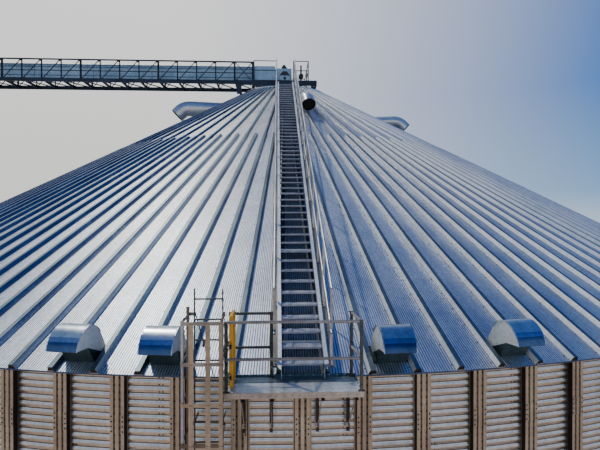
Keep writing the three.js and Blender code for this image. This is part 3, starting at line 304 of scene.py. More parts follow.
# The same painted reflection on the inner tier's flank, greener and less deep
RIB_SLATE = galvanised(
    "slate_rib_flank", "#64859c", "#527389", "#426277", 0.3, 0.2, metallic=1.0, bump=0.05
)
# Folded trim under the pans, tinted dark blue as painted shade under the eave, which draws the eave
# as one dark line
ROOF_EDGE = galvanised("galvanised_edge_trim", "#5a6d8c", "#485b7a", "#384a67", 0.4, 0.3)
# Rolled hood: smooth zinc that shades softly round its curve
HOOD_SHEET = galvanised(
    "galvanised_hood_sheet", "#ccd9e2", "#bac9d4", "#a5b6c3", 0.3, 0.2, metallic=0.95, bump=0.04
)
# Towards its lip the curve is tinted an ever deeper blue, a painted reflection of the deep sky
HOOD_TURN = galvanised(
    "mirror_hood_turn", "#97abcb", "#8499be", "#7087af", 0.24, 0.2, metallic=1.0, bump=0.04
)
HOOD_BROW = galvanised(
    "mirror_hood_brow", "#506a92", "#425c85", "#354e77", 0.24, 0.2, metallic=1.0, bump=0.04
)
# Throat plates in the hood's shade: a dark green grey
THROAT_SHEET = galvanised(
    "galvanised_vent_throat", "#4f6668", "#3c5254", "#2c4042", 0.4, 0.5, metallic=0.8
)
# The cut side plate is chalky with white bloom and hardly shines
HOOD_SIDE = galvanised(
    "galvanised_hood_side", "#f4fbfa", "#e6efef", "#cfdcdd", 0.35, 0.6, metallic=0.05
)
# The hood's lip is rolled over a wire and catches a white highlight
LIP_SHEET = galvanised(
    "bright_rolled_lip", "#f4f5f6", "#eceef0", "#dfe3e7", 0.5, 0.1, metallic=0.3
)
# Round duct: rolled bright sheet with a soft highlight along its top
DUCT_SHEET = galvanised(
    "galvanised_duct_sheet", "#eaeef1", "#dbe1e6", "#c5cdd4", 0.36, 0.3, metallic=0.75
)
# The duct's depth is drawn black: painted shade
DUCT_DEPTH_SHADE = enamel("painted_duct_depth_shade", "#050505", "#0b0b0b", 0.95)
# Thick dip coating of the stair's rails: an even light grey
ACCESS_STEEL = galvanised(
    "hot_dip_galvanised_steel", "#d3d5d6", "#bcbfc1", "#9c9fa2", 0.36, 0.3, metallic=0.8
)
# Pressed treads: their edges are tinted dark blue grey as painted shade and sky reflection, and
# read as dark bars
TREAD_STEEL = galvanised(
    "galvanised_stair_tread", "#b4bac8", "#99a1b4", "#78819a", 0.4, 0.3, metallic=0.8
)
# The tread's top and its grip studs are drawn brighter, as painted light on the faces turned up to
# the sky
LIT_TREAD_TOP = galvanised(
    "painted_light_tread_top", "#eef1f3", "#dfe3e7", "#c8ced4", 0.4, 0.4, metallic=0.5
)
# Drawn guard tube: zinc gone warm and a little brown
GUARD_STEEL = galvanised(
    "galvanised_guard_tube", "#bdb8b2", "#a49e98", "#87817b", 0.42, 0.3, metallic=0.7
)
# Rolled channel along the platform's edge, a light warm grey
FASCIA_STEEL = galvanised(
    "galvanised_fascia_channel", "#d0c6bb", "#c1b6ab", "#aca196", 0.45, 0.3, metallic=0.7
)
# Bracket angles are drawn dark brown and dull
BRACKET_STEEL = galvanised(
    "dark_brown_bracket_angle", "#574b40", "#463c33", "#352d26", 0.5, 0.3, metallic=0.7
)
# Soles polish the planks until they mirror the sky in patches
DECK_STEEL = galvanised(
    "polished_deck_plank", "#f0f6f6", "#e4ecec", "#d0dadb", 0.26, 0.3, metallic=0.48, bump=0.08
)
# A deeper blue green, painted reflection of the deep sky: rear planks, their upstand and the
# casing's beads
DEEP_SKY_STEEL = galvanised(
    "painted_deep_sky_zinc", "#5f8598", "#4d7387", "#3d6174", 0.35, 0.4, metallic=0.9
)
# The cage's rear post and one of its hoops, drawn brown; on the hoop the brown is painted shade
POST_STEEL = galvanised(
    "brown_post_and_painted_shade_hoop", "#938577", "#7a6d60", "#61564b", 0.5, 0.3, "#75604c", 0.15
)
# The ladder's zinc is worn dark by hands and soles
LADDER_STEEL = galvanised(
    "dulled_galvanised_ladder", "#6a6f6c", "#565b58", "#434745", 0.5, 0.3, metallic=0.8
)
# Lattice seen against the sky: its base darkened to slate blue, nearly black, as painted shade of
# its sides turned from the light
BRIDGE_STEEL = galvanised(
    "painted_shade_lattice", "#36465c", "#283749", "#1c2938", 0.55, 0.3, metallic=0.6
)
# The peak's rails are in the same shade, and rougher
PEAK_STEEL = galvanised(
    "shaded_guard_steel", "#2a3c56", "#203048", "#172438", 0.7, 0.3, metallic=0.3
)
# Folded casing sheet: clean, pale blue zinc
CASING_SHEET = galvanised(
    "galvanised_casing_sheet", "#acc9df", "#96b5cd", "#7d9db7", 0.42, 0.15, metallic=0.6
)
# Near black finish for bolts, which read as dark dots, and for the painted shade in the open rib
# ends
BOLTS_AND_END_SHADE = galvanised(
    "near_black_bolts_and_rib_end_shade", "#2b2825", "#211f1d", "#181615", 0.7, 0.2, metallic=0.3
)
# Safety enamel: a strong warm yellow, chipped to brown steel
GATE_ENAMEL = enamel("safety_yellow_enamel", "#fbb414", "#6a5530", 0.42)
# Machine enamel: near black and satin, chipped to grey steel
DRIVE_ENAMEL = enamel("dark_machine_enamel_and_painted_shade", "#23282d", "#5a5d5f", 0.5)
# Painted shade: what shows of the dark in punched holes, under the hoods and inside the ducts is
# drawn as black as the enamel
PAINTED_SHADE = DRIVE_ENAMEL

# ---- Mesh maker ----

# A tube's seam is kept off the three main directions
TUBE_UP = (0.03, 0.05, 1.0)
WASHER_SHARE = 0.25
WASHER_SPREAD = 1.4
# Bolt heads, as radius and height, each named by its radius in mm
HEAD_7 = (0.007, 0.006)
HEAD_8 = (0.008, 0.007)
HEAD_9 = (0.009, 0.008)
HEAD_10 = (0.010, 0.009)
HEAD_11 = (0.011, 0.010)
HEAD_12 = (0.012, 0.010)
HEAD_13 = (0.013, 0.011)
HEAD_14 = (0.014, 0.012)
# Plate thickness of the small angles
ANGLE_T = 0.005


class Maker:
    """Collects the faces of one piece. A face takes its main finish, or one that is named."""

    def __init__(self, main):
        self.main = main
        self.points, self.faces, self.finish, self.soft = [], [], [], []

    def add(self, points, faces, finish=None, soft=False):
        """Faces over new points. The finish is one for all of them, or a list of one for each."""
        first = len(self.points)
        self.points.extend(points)
        self.faces.extend([first + i for i in face] for face in faces)
        if not isinstance(finish, list):
            finish = [self.main if finish is None else finish] * len(faces)
        self.finish.extend(finish)
        self.soft.extend([soft] * len(faces))

    def skin(self, rows, finish=None, soft=False, closed=False):
        """A surface through rows of points of equal length. The finish may be a tuple: one for
        each strip of a pattern that repeats along the rows."""
        width = len(rows[0])
        strips = width if closed else width - 1
        faces = []
        for low in range(0, (len(rows) - 1) * width, width):
            high = low + width
            for c in range(strips):
                d = (c + 1) % width
                faces.append((low + c, low + d, high + d, high + c))
        if isinstance(finish, tuple):
            finish = [finish[k % strips % len(finish)] for k in range(len(faces))]
        self.add([p for row in rows for p in row], faces, finish, soft)

    def caps(self, first, last, finish=None):
        """Closes the two ends of a run of rows."""
        corners = range(len(first))
        self.add(first, [tuple(reversed(corners))], finish)
        self.add(last, [tuple(corners)], finish)

    def sweep(self, path, section, up=(0, 0, 1), finish=None, soft=False, caps=True, loop=False):
        """Runs a closed section (across, up) along a path of points, mitred at each corner."""
        path = [Vector(p) for p in path]
        up = Vector(up)
        count = len(path)
        rows = []
        for i, point in enumerate(path):
            before = path[i] - path[i - 1] if (i > 0 or loop) else path[1] - path[0]
            after = path[(i + 1) % count] - path[i] if (i + 1 < count or loop) else before
            before, after = before.normalized(), after.normalized()
            along = (before + after).normalized()
            side = along.cross(up).normalized()
            lift = side.cross(along)
            turn = before - along * before.dot(along)
            stretch = 1 / max(along.dot(before), 0.3)
            bend = turn.normalized() if turn.length > 1e-6 else None
            row = []
            for u, v in section:
                offset = side * u + lift * v
                if bend:
                    offset += bend * offset.dot(bend) * (stretch - 1)
                row.append(tuple(point + offset))
            rows.append(row)
        if loop:
            rows.append(rows[0])
        self.skin(rows, finish, soft, closed=True)
        if caps and not loop:
            self.caps(rows[0], rows[-1], finish)

    def tube(self, path, radius, finish=None, sides=10, up=TUBE_UP):
        self.sweep(path, circle(radius, sides), up, finish, soft=True)

    def plate(self, outline, origin, u, v, thickness, finish=None):
        """A flat outline (p along u, q along v), given its thickness along u x v."""
        u, v, origin = Vector(u), Vector(v), Vector(origin)
        away = u.cross(v).normalized() * thickness
        low = [tuple(origin + u * p + v * q) for p, q in outline]
        high = [tuple(Vector(point) + away) for point in low]
        n = len(outline)
        self.add(low + high, [tuple(reversed(range(n))), tuple(range(n, 2 * n))], finish)
        self.skin([low, high], finish, closed=True)

    def block(self, low, high, finish=None, edge=0.0):
        """An upright block whose vertical and end edges are eased by `edge`."""
        x0, y0, z0 = low
        x1, y1, z1 = high
        mid_x, mid_y = (x0 + x1) / 2, (y0 + y1) / 2
        outline = [(x0, y0), (x1, y0), (x1, y1), (x0, y1)]
        levels = [(z0, 0), (z1, 0)]
        if edge:
            outline = [
                (x0 + edge, y0), (x1 - edge, y0), (x1, y0 + edge), (x1, y1 - edge),
                (x1 - edge, y1), (x0 + edge, y1), (x0, y1 - edge), (x0, y0 + edge),
            ]
            levels = [(z0, edge), (z0 + edge, 0), (z1 - edge, 0), (z1, edge)]
        rows = []
        for z, inset in levels:
            sx = 1 - 2 * inset / (x1 - x0)
            sy = 1 - 2 * inset / (y1 - y0)
            rows.append([(mid_x + (x - mid_x) * sx, mid_y + (y - mid_y) * sy, z)
                         for x, y in outline])
        self.skin(rows, finish, closed=True)
        self.caps(rows[0], rows[-1], finish)

    def dome(self, point, away, head, finish=None, sides=6):
        """A low bolt head, screw head or stud on a surface."""
        radius, height = head
        top = Vector(point) + Vector(away).normalized() * height
        faces = [(k, (k + 1) % sides, sides) for k in range(sides)]
        self.add(ring_on(point, away, radius, sides) + [tuple(top)], faces, finish)

    def disc(self, point, away, radius, finish=None, sides=8):
        """A punched hole, drawn as a dark disc of painted shade just proud of the sheet."""
        self.add(ring_on(point, away, radius, sides), [tuple(range(sides))], finish)

    def hex_bolt(self, point, away, head, finish=None):
        """A hexagonal head with a washer under it."""
        radius, height = head
        washer = height * WASHER_SHARE
        for wide, low, high in ((radius * WASHER_SPREAD, 0, washer), (radius, washer, height)):
            rows = [ring_on(point, away, wide, 6, lift) for lift in (low, high)]
            self.skin(rows, finish, closed=True)
            self.add(rows[1], [tuple(range(6))], finish)


def circle(radius, sides):
    """A round section, as (across, up)."""
    turns = [2 * math.pi * k / sides for k in range(sides)]
    return [(radius * math.cos(a), radius * math.sin(a)) for a in turns]


def ring_on(point, away, radius, sides, lift=0.0):
    """A ring of points round a place on a surface, or lifted off it."""
    away = Vector(away).normalized()
    side = away.orthogonal().normalized()
    other = away.cross(side)
    middle = Vector(point) + away * lift
    turns = [2 * math.pi * k / sides for k in range(sides)]
    return [tuple(middle + (side * math.cos(a) + other * math.sin(a)) * radius) for a in turns]


def arc(centre, radius, start, end, steps, u, v):
    """Points on an arc in the plane of u and v, from start to end degrees."""
    centre, u, v = Vector(centre), Vector(u), Vector(v)
    points = []
    for i in range(steps + 1):
        a = math.radians(start + (end - start) * i / steps)
        points.append(tuple(centre + u * radius * math.cos(a) + v * radius * math.sin(a)))
    return points


def rect(width, height, edge=0.0):
    """A flat bar's section, its corners cut by `edge`."""
    w, h, e = width / 2, height / 2, edge
    if not e:
        return [(-w, -h), (w, -h), (w, h), (-w, h)]
    return [
        (-w + e, -h), (w - e, -h), (w, -h + e), (w, h - e),
        (w - e, h), (-w + e, h), (-w, h - e), (-w, -h + e),
    ]


def angle_section(leg, thickness):
    """An L section, its corner at the origin."""
    t = thickness
    return [(0, 0), (leg, 0), (leg, t), (t, t), (t, leg), (0, leg)]


def channel_section(depth, flange, thickness, turn=1):
    """A C section: web upright and centred, flanges to one side."""
    d, t = depth / 2, thickness
    points = [(0, -d), (flange, -d), (flange, -d + t), (t, -d + t),
              (t, d - t), (flange, d - t), (flange, d), (0, d)]
    return points if turn > 0 else mirrored(points)


def mirrored(section):
    """The section for the other hand, its points still in order."""
    return [(-across, up) for across, up in reversed(section)]


def handed(section, side):
    """A section whose points run backwards: put in order for the right side, or turned over
    for the left."""
    return section[::-1] if side > 0 else [(-across, up) for across, up in section]


def piece(name, maker, replaces, body="silo"):
    """Turns a maker's faces into an object that rides on a body and stands for the nodes."""
    number = {finish: k for k, finish in enumerate(dict.fromkeys(maker.finish))}
    mesh = bpy.data.meshes.new(name)
    mesh.from_pydata(maker.points, [], maker.faces)
    for finish in number:
        mesh.materials.append(finish)
    mesh.polygons.foreach_set("material_index", [number[finish] for finish in maker.finish])
    mesh.polygons.foreach_set("use_smooth", maker.soft)
    mesh.update()
    made = bpy.data.objects.new(name, mesh)
    bpy.context.scene.collection.objects.link(made)
    made.location = (0, AXIS_Y, 0)
    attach(made, body)
    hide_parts(*replaces)


# ---- Places on the silo ----


def plan(azimuth, radius, across=0.0):
    """A place seen from above: its distance from the axis at an azimuth, then moved across."""
    a = math.radians(azimuth)
    return (
        radius * math.sin(a) + across * math.cos(a),
        -radius * math.cos(a) + across * math.sin(a),
    )


def outward(azimuth):
    return (*plan(azimuth, 1.0), 0)


def wall_point(azimuth, radius, across, z):
    return (*plan(azimuth, radius, across), z)


def roof_z(radius):
    """Height of the roof at a distance from the axis."""
    return EAVE_Z + SLOPE * (EAVE_R - radius)


def slope_frame(azimuth):
    """Up the slope, away from it, and sideways, at one azimuth."""
    a = math.radians(azimuth)
    out = Vector((math.sin(a), -math.cos(a), 0))
    up = Vector((-out.x * COS, -out.y * COS, SIN))
    away = Vector((out.x * SIN, out.y * SIN, COS))
    return up, away, Vector((math.cos(a), math.sin(a), 0))


def roof_point(azimuth, climb, lift, across=0.0):
    """A place on the roof: up the slope from the eave, lifted off it, across from the azimuth."""
    up, away, side = slope_frame(azimuth)
    a = math.radians(azimuth)
    eave = Vector((EAVE_R * math.sin(a), -EAVE_R * math.cos(a), EAVE_Z))
    return eave + up * climb + away * lift + side * across


# ---- Wall: corrugated rings with hat stiffeners ----

WALL_SEGMENTS = 8
SEGMENT = 360 / WALL_SEGMENTS
STIFFENERS_EACH = 15
CORRUGATIONS = 10
WAVE = 0.0095
WAVE_STEPS = 6
# Strips of one wave: those that face the sky are light, and the trough over them is dark
WAVE_FINISH = (WALL_CREST, WALL_TROUGH, WALL_SHEET, WALL_SHEET, WALL_SHEET, WALL_CREST)
WAVE_PITCH = RING_H / CORRUGATIONS
LAP_PROUD = 0.003
SHEET_OUT = WALL_R + WAVE
SEAM_STEP = 9.0
TOP_SEAM = 2.1
SEAM_HALF = 0.030
RIDGE_OUT = 0.082
GROOVE_OUT = 0.071
# Across and out from the sheet: flange, web, outer ridge, bolted groove and half the centre ridge
HALF_HAT = [(-0.146, 0.001), (-0.124, 0.001), (-0.116, RIDGE_OUT), (-0.062, RIDGE_OUT),
            (-0.055, GROOVE_OUT), (-0.036, GROOVE_OUT), (-0.028, RIDGE_OUT)]
HAT = HALF_HAT + mirrored(HALF_HAT)
# Strips of half the hat: the flange and ridge are light, the flank and groove are in shade
HALF_HAT_FINISH = (STIFFENER_STEEL, FLANK_STEEL, STIFFENER_STEEL,
                   GROOVE_STEEL, GROOVE_STEEL, GROOVE_STEEL)
HAT_FINISH = (*HALF_HAT_FINISH, STIFFENER_STEEL, *reversed(HALF_HAT_FINISH))
# Foot and head of the splice plate over a ring's foot, and how far it stands out
SPLICE = (0.19, 0.50)
SPLICE_PROUD = 0.004
SPLICE_BOLTS = 4
SPLICE_BOLT_X = 0.092
GROOVE_X = 0.046
LAP_BOLT_STEP = 0.376
# The lap's bolts sit in the facet over the sheet's lower edge, and none is behind a post
LAP_BOLT_RISE = 0.075
CLEAR_OF_POST = 0.45
# Radius and height of each head
GROOVE_BOLT = (0.019, 0.016)
SPLICE_BOLT = (0.015, 0.012)
LAP_BOLT = (0.015, 0.011)
SEAM_BOLT = (0.016, 0.012)


def wave_at(z):
    """How far the corrugation stands out of the sheet's middle at a height."""
    return WAVE * math.cos(2 * math.pi * (z / WAVE_PITCH + 0.25))


def chord_r(azimuth, lift):
    """Radius of the flat sheet between two posts, at one azimuth."""
    middle = (math.floor(azimuth / STIFFENER_STEP) + 0.5) * STIFFENER_STEP
    flat = (WALL_R + lift) * math.cos(math.radians(STIFFENER_STEP / 2))
    return flat / math.cos(math.radians(azimuth - middle))


def segment_posts(index):
    """Azimuths of the stiffeners of one wall segment."""
    start = (index - 0.5) * SEGMENT
    return [start + (k + 0.5) * STIFFENER_STEP for k in range(STIFFENERS_EACH)]


def wall_sheets(index):
    """Rings of corrugated sheet, each one's lower edge lapped outside the ring below."""
    maker = Maker(WALL_SHEET)
    posts = segment_posts(index)
    columns = [posts[0] - STIFFENER_STEP / 2, *posts, posts[-1] + STIFFENER_STEP / 2]
    count = CORRUGATIONS * WAVE_STEPS
    for ring in range(RINGS):
        foot = ring * RING_H
        first = 0 if ring == 0 else -1
        last = count if ring == RINGS - 1 else count + 1
        rows = []
        for k in range(first, last + 1):
            z = foot + k * RING_H / count
            r = WALL_R + wave_at(z) + LAP_PROUD * (1 - k / count)
            rows.append([wall_point(a, r, 0, z) for a in columns])
        turned = [list(column) for column in zip(*rows)][::-1]
        strips = tuple(WAVE_FINISH[k % WAVE_STEPS] for k in range(first, last))
        maker.skin(turned, strips, soft=True)
    return maker


def stiffener_posts(index):
    """Hat-section posts with two bolted grooves, spliced once on every ring."""
    maker = Maker(STIFFENER_STEEL)
    low, high = SPLICE
    levels = [(0, 0), (low, 0), (low, SPLICE_PROUD), (high, SPLICE_PROUD), (high, 0), (RING_H, 0)]
    for azimuth in segment_posts(index):
        for ring in range(RINGS):
            foot = ring * RING_H
            maker.skin([[wall_point(azimuth, SHEET_OUT + y + proud, x, foot + z) for x, y in HAT]
                        for z, proud in levels], HAT_FINISH)
    return maker


def wall_bolts(index):
    """Bolts down each post's grooves and on its splices, along the ring laps and up the seams."""
    maker = Maker(BOLTS_AND_END_SHADE)
    posts = segment_posts(index)
    start, end = posts[0] - STIFFENER_STEP / 2, posts[-1] + STIFFENER_STEP / 2
    groove = SHEET_OUT + GROOVE_OUT
    ridge = SHEET_OUT + RIDGE_OUT + SPLICE_PROUD
    for azimuth in posts:
        out = outward(azimuth)
        for ring in range(RINGS):
            foot = ring * RING_H
            for k in range(CORRUGATIONS):
                z = foot + (k + 0.5) * WAVE_PITCH
                for x in (-GROOVE_X, GROOVE_X):
                    maker.dome(wall_point(azimuth, groove, x, z), out, GROOVE_BOLT)
            for k in range(SPLICE_BOLTS):
                z = foot + SPLICE[0] + (k + 0.5) * (SPLICE[1] - SPLICE[0]) / SPLICE_BOLTS
                for x in (-SPLICE_BOLT_X, SPLICE_BOLT_X):
                    maker.dome(wall_point(azimuth, ridge, x, z), out, SPLICE_BOLT)
    for ring in range(1, RINGS):
        z = ring * RING_H + LAP_BOLT_RISE
        azimuth = start
        while azimuth < end:
            nearest = round(azimuth / STIFFENER_STEP) * STIFFENER_STEP
            if abs(azimuth - nearest) > CLEAR_OF_POST:
                place = wall_point(azimuth, chord_r(azimuth, LAP_PROUD), 0, z)
                maker.dome(place, outward(azimuth), LAP_BOLT)
            azimuth += LAP_BOLT_STEP
    # The seams of one ring lie between those of the next
    for ring in range(RINGS):
        shift = TOP_SEAM + (SEAM_STEP / 2 if (RINGS - 1 - ring) % 2 else 0)
        azimuth = shift + math.ceil((start - shift) / SEAM_STEP) * SEAM_STEP
        while azimuth < end:
            for k in range(1, CORRUGATIONS):
                z = ring * RING_H + (k + 0.5) * WAVE_PITCH
                for x in (-SEAM_HALF, SEAM_HALF):
                    place = wall_point(azimuth, chord_r(azimuth, wave_at(z)), x, z)
                    maker.dome(place, outward(azimuth), SEAM_BOLT)
            azimuth += SEAM_STEP
    return maker


for i in range(WALL_SEGMENTS):
    stands_for = [f"wall_{i + 1}"]
    piece(f"corrugated_wall_{i + 1}", wall_sheets(i), stands_for)
    piece(f"wall_stiffeners_{i + 1}", stiffener_posts(i), stands_for)
    piece(f"wall_bolts_{i + 1}", wall_bolts(i), stands_for)

# ---- Roof: ribbed pans with fine flutes ----

ROOF_SEGMENTS = 4
QUARTER = 360 / ROOF_SEGMENTS
FLUTES = 13
FLUTE_DEPTH = 0.007
# Share of one flute's pitch at each point of its section, and whether it lies in the groove
FLUTE = ((0.0, 0), (0.62, 0), (0.70, 1), (0.92, 1))
OUTER_PAN = (ROOF_SHEET, FLUTE_SHADE, FLUTE_SHADE, FLUTE_SHADE)
INNER_PAN = (UPPER_SHEET, FLUTE_SHADE, FLUTE_SHADE, FLUTE_SHADE)
EAVE_CLIMB = (EAVE_R - LAP_R) / COS
RING_CLIMB = (EAVE_R - RING_R) / COS
EDGE_TURN = 0.024
# The outer pans run on under the inner tier, which starts below their end and lies on them
OUTER_LAP = 0.05
INNER_LAP = 0.03
INNER_LIFT = 0.004
END_SHADE_SET_BACK = 0.02
# A rib that ends at the lap is hammered flat: how far up, and its last section
TAPER_FROM, TAPER_TO, TAPER_LIFT = 0.02, 0.16, 0.006
TAPER_X = (-0.05, -0.02, 0.02, 0.05)
BOLT_STEP = 0.46
OUTER_BOLT = (0.013, 0.012)
OUTER_BOLT_FROM = 0.12
OUTER_BOLT_X = 0.022
INNER_BOLT = (0.012, 0.011)
INNER_BOLT_FROM = 0.04
INNER_BOLT_X = 0.02
INNER_BOLT_LIFT = 0.002
# The last bolt stays this far below the end of its tier
LAST_BOLT = 0.1


def pan_rows(first, second, base, climbs, flutes):
    """Rows of points across one pan, from the foot of one rib to the foot of the next."""
    away = slope_frame((first + second) / 2)[1]
    rows = []
    for climb in climbs:
        left = roof_point(first, climb, 0, base / 2)
        right = roof_point(second, climb, 0, -base / 2)
        row = []
        for f in range(flutes):
            for share, drop in FLUTE:
                t = (f + share) / flutes
                row.append(tuple(left.lerp(right, t) - away * FLUTE_DEPTH * drop))
        rows.append([*row, tuple(right)])
    return rows


def rib_rows(azimuth, rib, climbs):
    """A rib's section at each place up the slope."""
    base, top, height = rib
    section = [(-base / 2, 0), (-top / 2, height), (top / 2, height), (base / 2, 0)]
    return [[tuple(roof_point(azimuth, c, n, x)) for x, n in section] for c in climbs]


def add_rib(maker, azimuth, rib, climbs, far_flank):
    """A rib as three strips: the bright flank towards lower azimuths, the top, and the other."""
    rows = rib_rows(azimuth, rib, climbs)
    for k, finish in enumerate((RIB_BRIGHT, RIB_TOP, far_flank)):
        maker.skin([row[k : k + 2] for row in rows], finish)


def pan_bolts(maker, azimuth, start, stop, across, lift, bolt):
    """A row of bolts up the pan beside a rib."""
    away = slope_frame(azimuth)[1]
    climb = start
    while climb < stop - LAST_BOLT:
        maker.dome(roof_point(azimuth, climb, lift, across), away, bolt, BOLTS_AND_END_SHADE)
        climb += BOLT_STEP


def turned_edge(maker, left, right):
    """The trim that is folded down along the eave between two places."""
    drop = Vector((0, 0, -EDGE_TURN))
    maker.skin([[tuple(left), tuple(right)], [tuple(left + drop), tuple(right + drop)]], ROOF_EDGE)


def lower_roof(index):
    """Outer tier of one quarter: pans, ribs open at the eave, turned-down edge, and dark plates of
    painted shade in the rib ends.
    """
    maker = Maker(ROOF_SHEET)
    first = (index - 0.5) * QUARTER + FIRST_RIB
    climbs = [0.0, EAVE_CLIMB / 2, EAVE_CLIMB + OUTER_LAP]
    base = LOWER_RIB[0]
    for k in range(round(QUARTER / LOWER_STEP)):
        azimuth = first + k * LOWER_STEP
        following = azimuth + LOWER_STEP
        maker.skin(pan_rows(azimuth, following, base, climbs, FLUTES), OUTER_PAN)
        add_rib(maker, azimuth, LOWER_RIB, climbs, RIB_DEEP)
        rib_end = roof_point(azimuth, 0, 0, base / 2)
        turned_edge(maker, rib_end, roof_point(following, 0, 0, -base / 2))
        # Dark plate of painted shade in the rib's open end, and the edge trim carried on under it
        inward = Vector((*plan(azimuth + LOWER_STEP / 2, -END_SHADE_SET_BACK), 0))
        section = rib_rows(azimuth, LOWER_RIB, [0.0])[0]
        maker.add([tuple(Vector(p) + inward) for p in section], [(0, 1, 2, 3)], BOLTS_AND_END_SHADE)
        turned_edge(maker, roof_point(azimuth, 0, 0, -base / 2), rib_end)
        pan_bolts(maker, azimuth, OUTER_BOLT_FROM, EAVE_CLIMB, -base / 2 - OUTER_BOLT_X, 0,
                  OUTER_BOLT)
    return maker


def upper_roof(index):
    """Inner tier of one quarter, with half as many ribs, lapped over the outer tier."""
    maker = Maker(UPPER_SHEET)
    first = (index - 0.5) * QUARTER + FIRST_RIB + LOWER_STEP
    low = EAVE_CLIMB - INNER_LAP
    climbs = [low, (low + RING_CLIMB) / 2, RING_CLIMB]
    base = UPPER_RIB[0]
    lift = Vector((0, 0, INNER_LIFT))
    for k in range(round(QUARTER / UPPER_STEP)):
        azimuth = first + k * UPPER_STEP
        rows = pan_rows(azimuth, azimuth + UPPER_STEP, base, climbs, 2 * FLUTES)
        maker.skin([[tuple(Vector(p) + lift) for p in row] for row in rows], INNER_PAN)
        add_rib(maker, azimuth, UPPER_RIB, climbs, RIB_SLATE)
        # Tapered end over the lower rib that stops between two upper ribs
        middle = azimuth + UPPER_STEP / 2
        full = rib_rows(middle, LOWER_RIB, [EAVE_CLIMB + TAPER_FROM])[0]
        flat = [tuple(roof_point(middle, EAVE_CLIMB + TAPER_TO, TAPER_LIFT, x)) for x in TAPER_X]
        maker.skin([full, flat])
        pan_bolts(maker, azimuth, low + INNER_BOLT_FROM, RING_CLIMB, -base / 2 - INNER_BOLT_X,
                  INNER_BOLT_LIFT, INNER_BOLT)
    return maker


for i in range(ROOF_SEGMENTS):
    piece(f"ribbed_roof_outer_{i + 1}", lower_roof(i), [f"roof_lower_{i + 1}"])
    piece(f"ribbed_roof_inner_{i + 1}", upper_roof(i), [f"roof_upper_{i + 1}"])

# ---- Eave vents: a box throat under a curved hood that is open down the slope ----

SHOWN_VENTS = [-11.25, -6.75, 4.5, 11.25]
VENT_STEP = 9.0
VENT_COUNT = 36
VENT_HALF = 0.247
# Climb and lift of the hood's curve, from its lip over the crest and down the back
HOOD_CURVE = [
    (-0.050, 0.478), (0.000, 0.527), (0.060, 0.572), (0.130, 0.608), (0.210, 0.632),
    (0.300, 0.638), (0.390, 0.628), (0.465, 0.588), (0.525, 0.525), (0.572, 0.440),
    (0.602, 0.330), (0.610, 0.150), (0.612, 0.002),
]
# Strips of the curve: painted deep-sky reflection behind the lip, plain hood sheet over the crest
# and down the back
HOOD_STRIPS = (HOOD_BROW, HOOD_BROW, HOOD_TURN, *[HOOD_SHEET] * 9)
# The curve's underside, from its lip to the fifth strip, is drawn dark as painted shade
SHADED_UNDERSIDE_POINTS = 6
THROAT = [(0.225, 0.002), (0.215, 0.320)]
# The dark corner plate of the throat's side runs back to here
THROAT_BACK = (0.470, 0.002)
SCREEN_TOP = (0.270, 0.620)
SCREEN_WIRES = 8
WIRE_R = 0.003
WIRE_PROUD = 0.012
HOOD_SHEET_T = 0.012
LIP_R = 0.007
# The rolled lip's middle from the first point of the curve
LIP_SHIFT = (0.012, -0.002)
SIDE_FLANGE = 0.016
SIDE_FLANGE_DROP = 0.004
FOOT_FLANGE = 0.042
FOOT_FLANGE_LIFT = 0.005
# Climb of each screw; those in the side plate rise along a slant
HOOD_SCREWS = (0.27, 0.38, 0.49, 0.59)
SIDE_SCREW_LIFT = 0.06
FOOT_SCREW = (0.012, 0.010)
SIDE_SCREW = (0.009, 0.006)


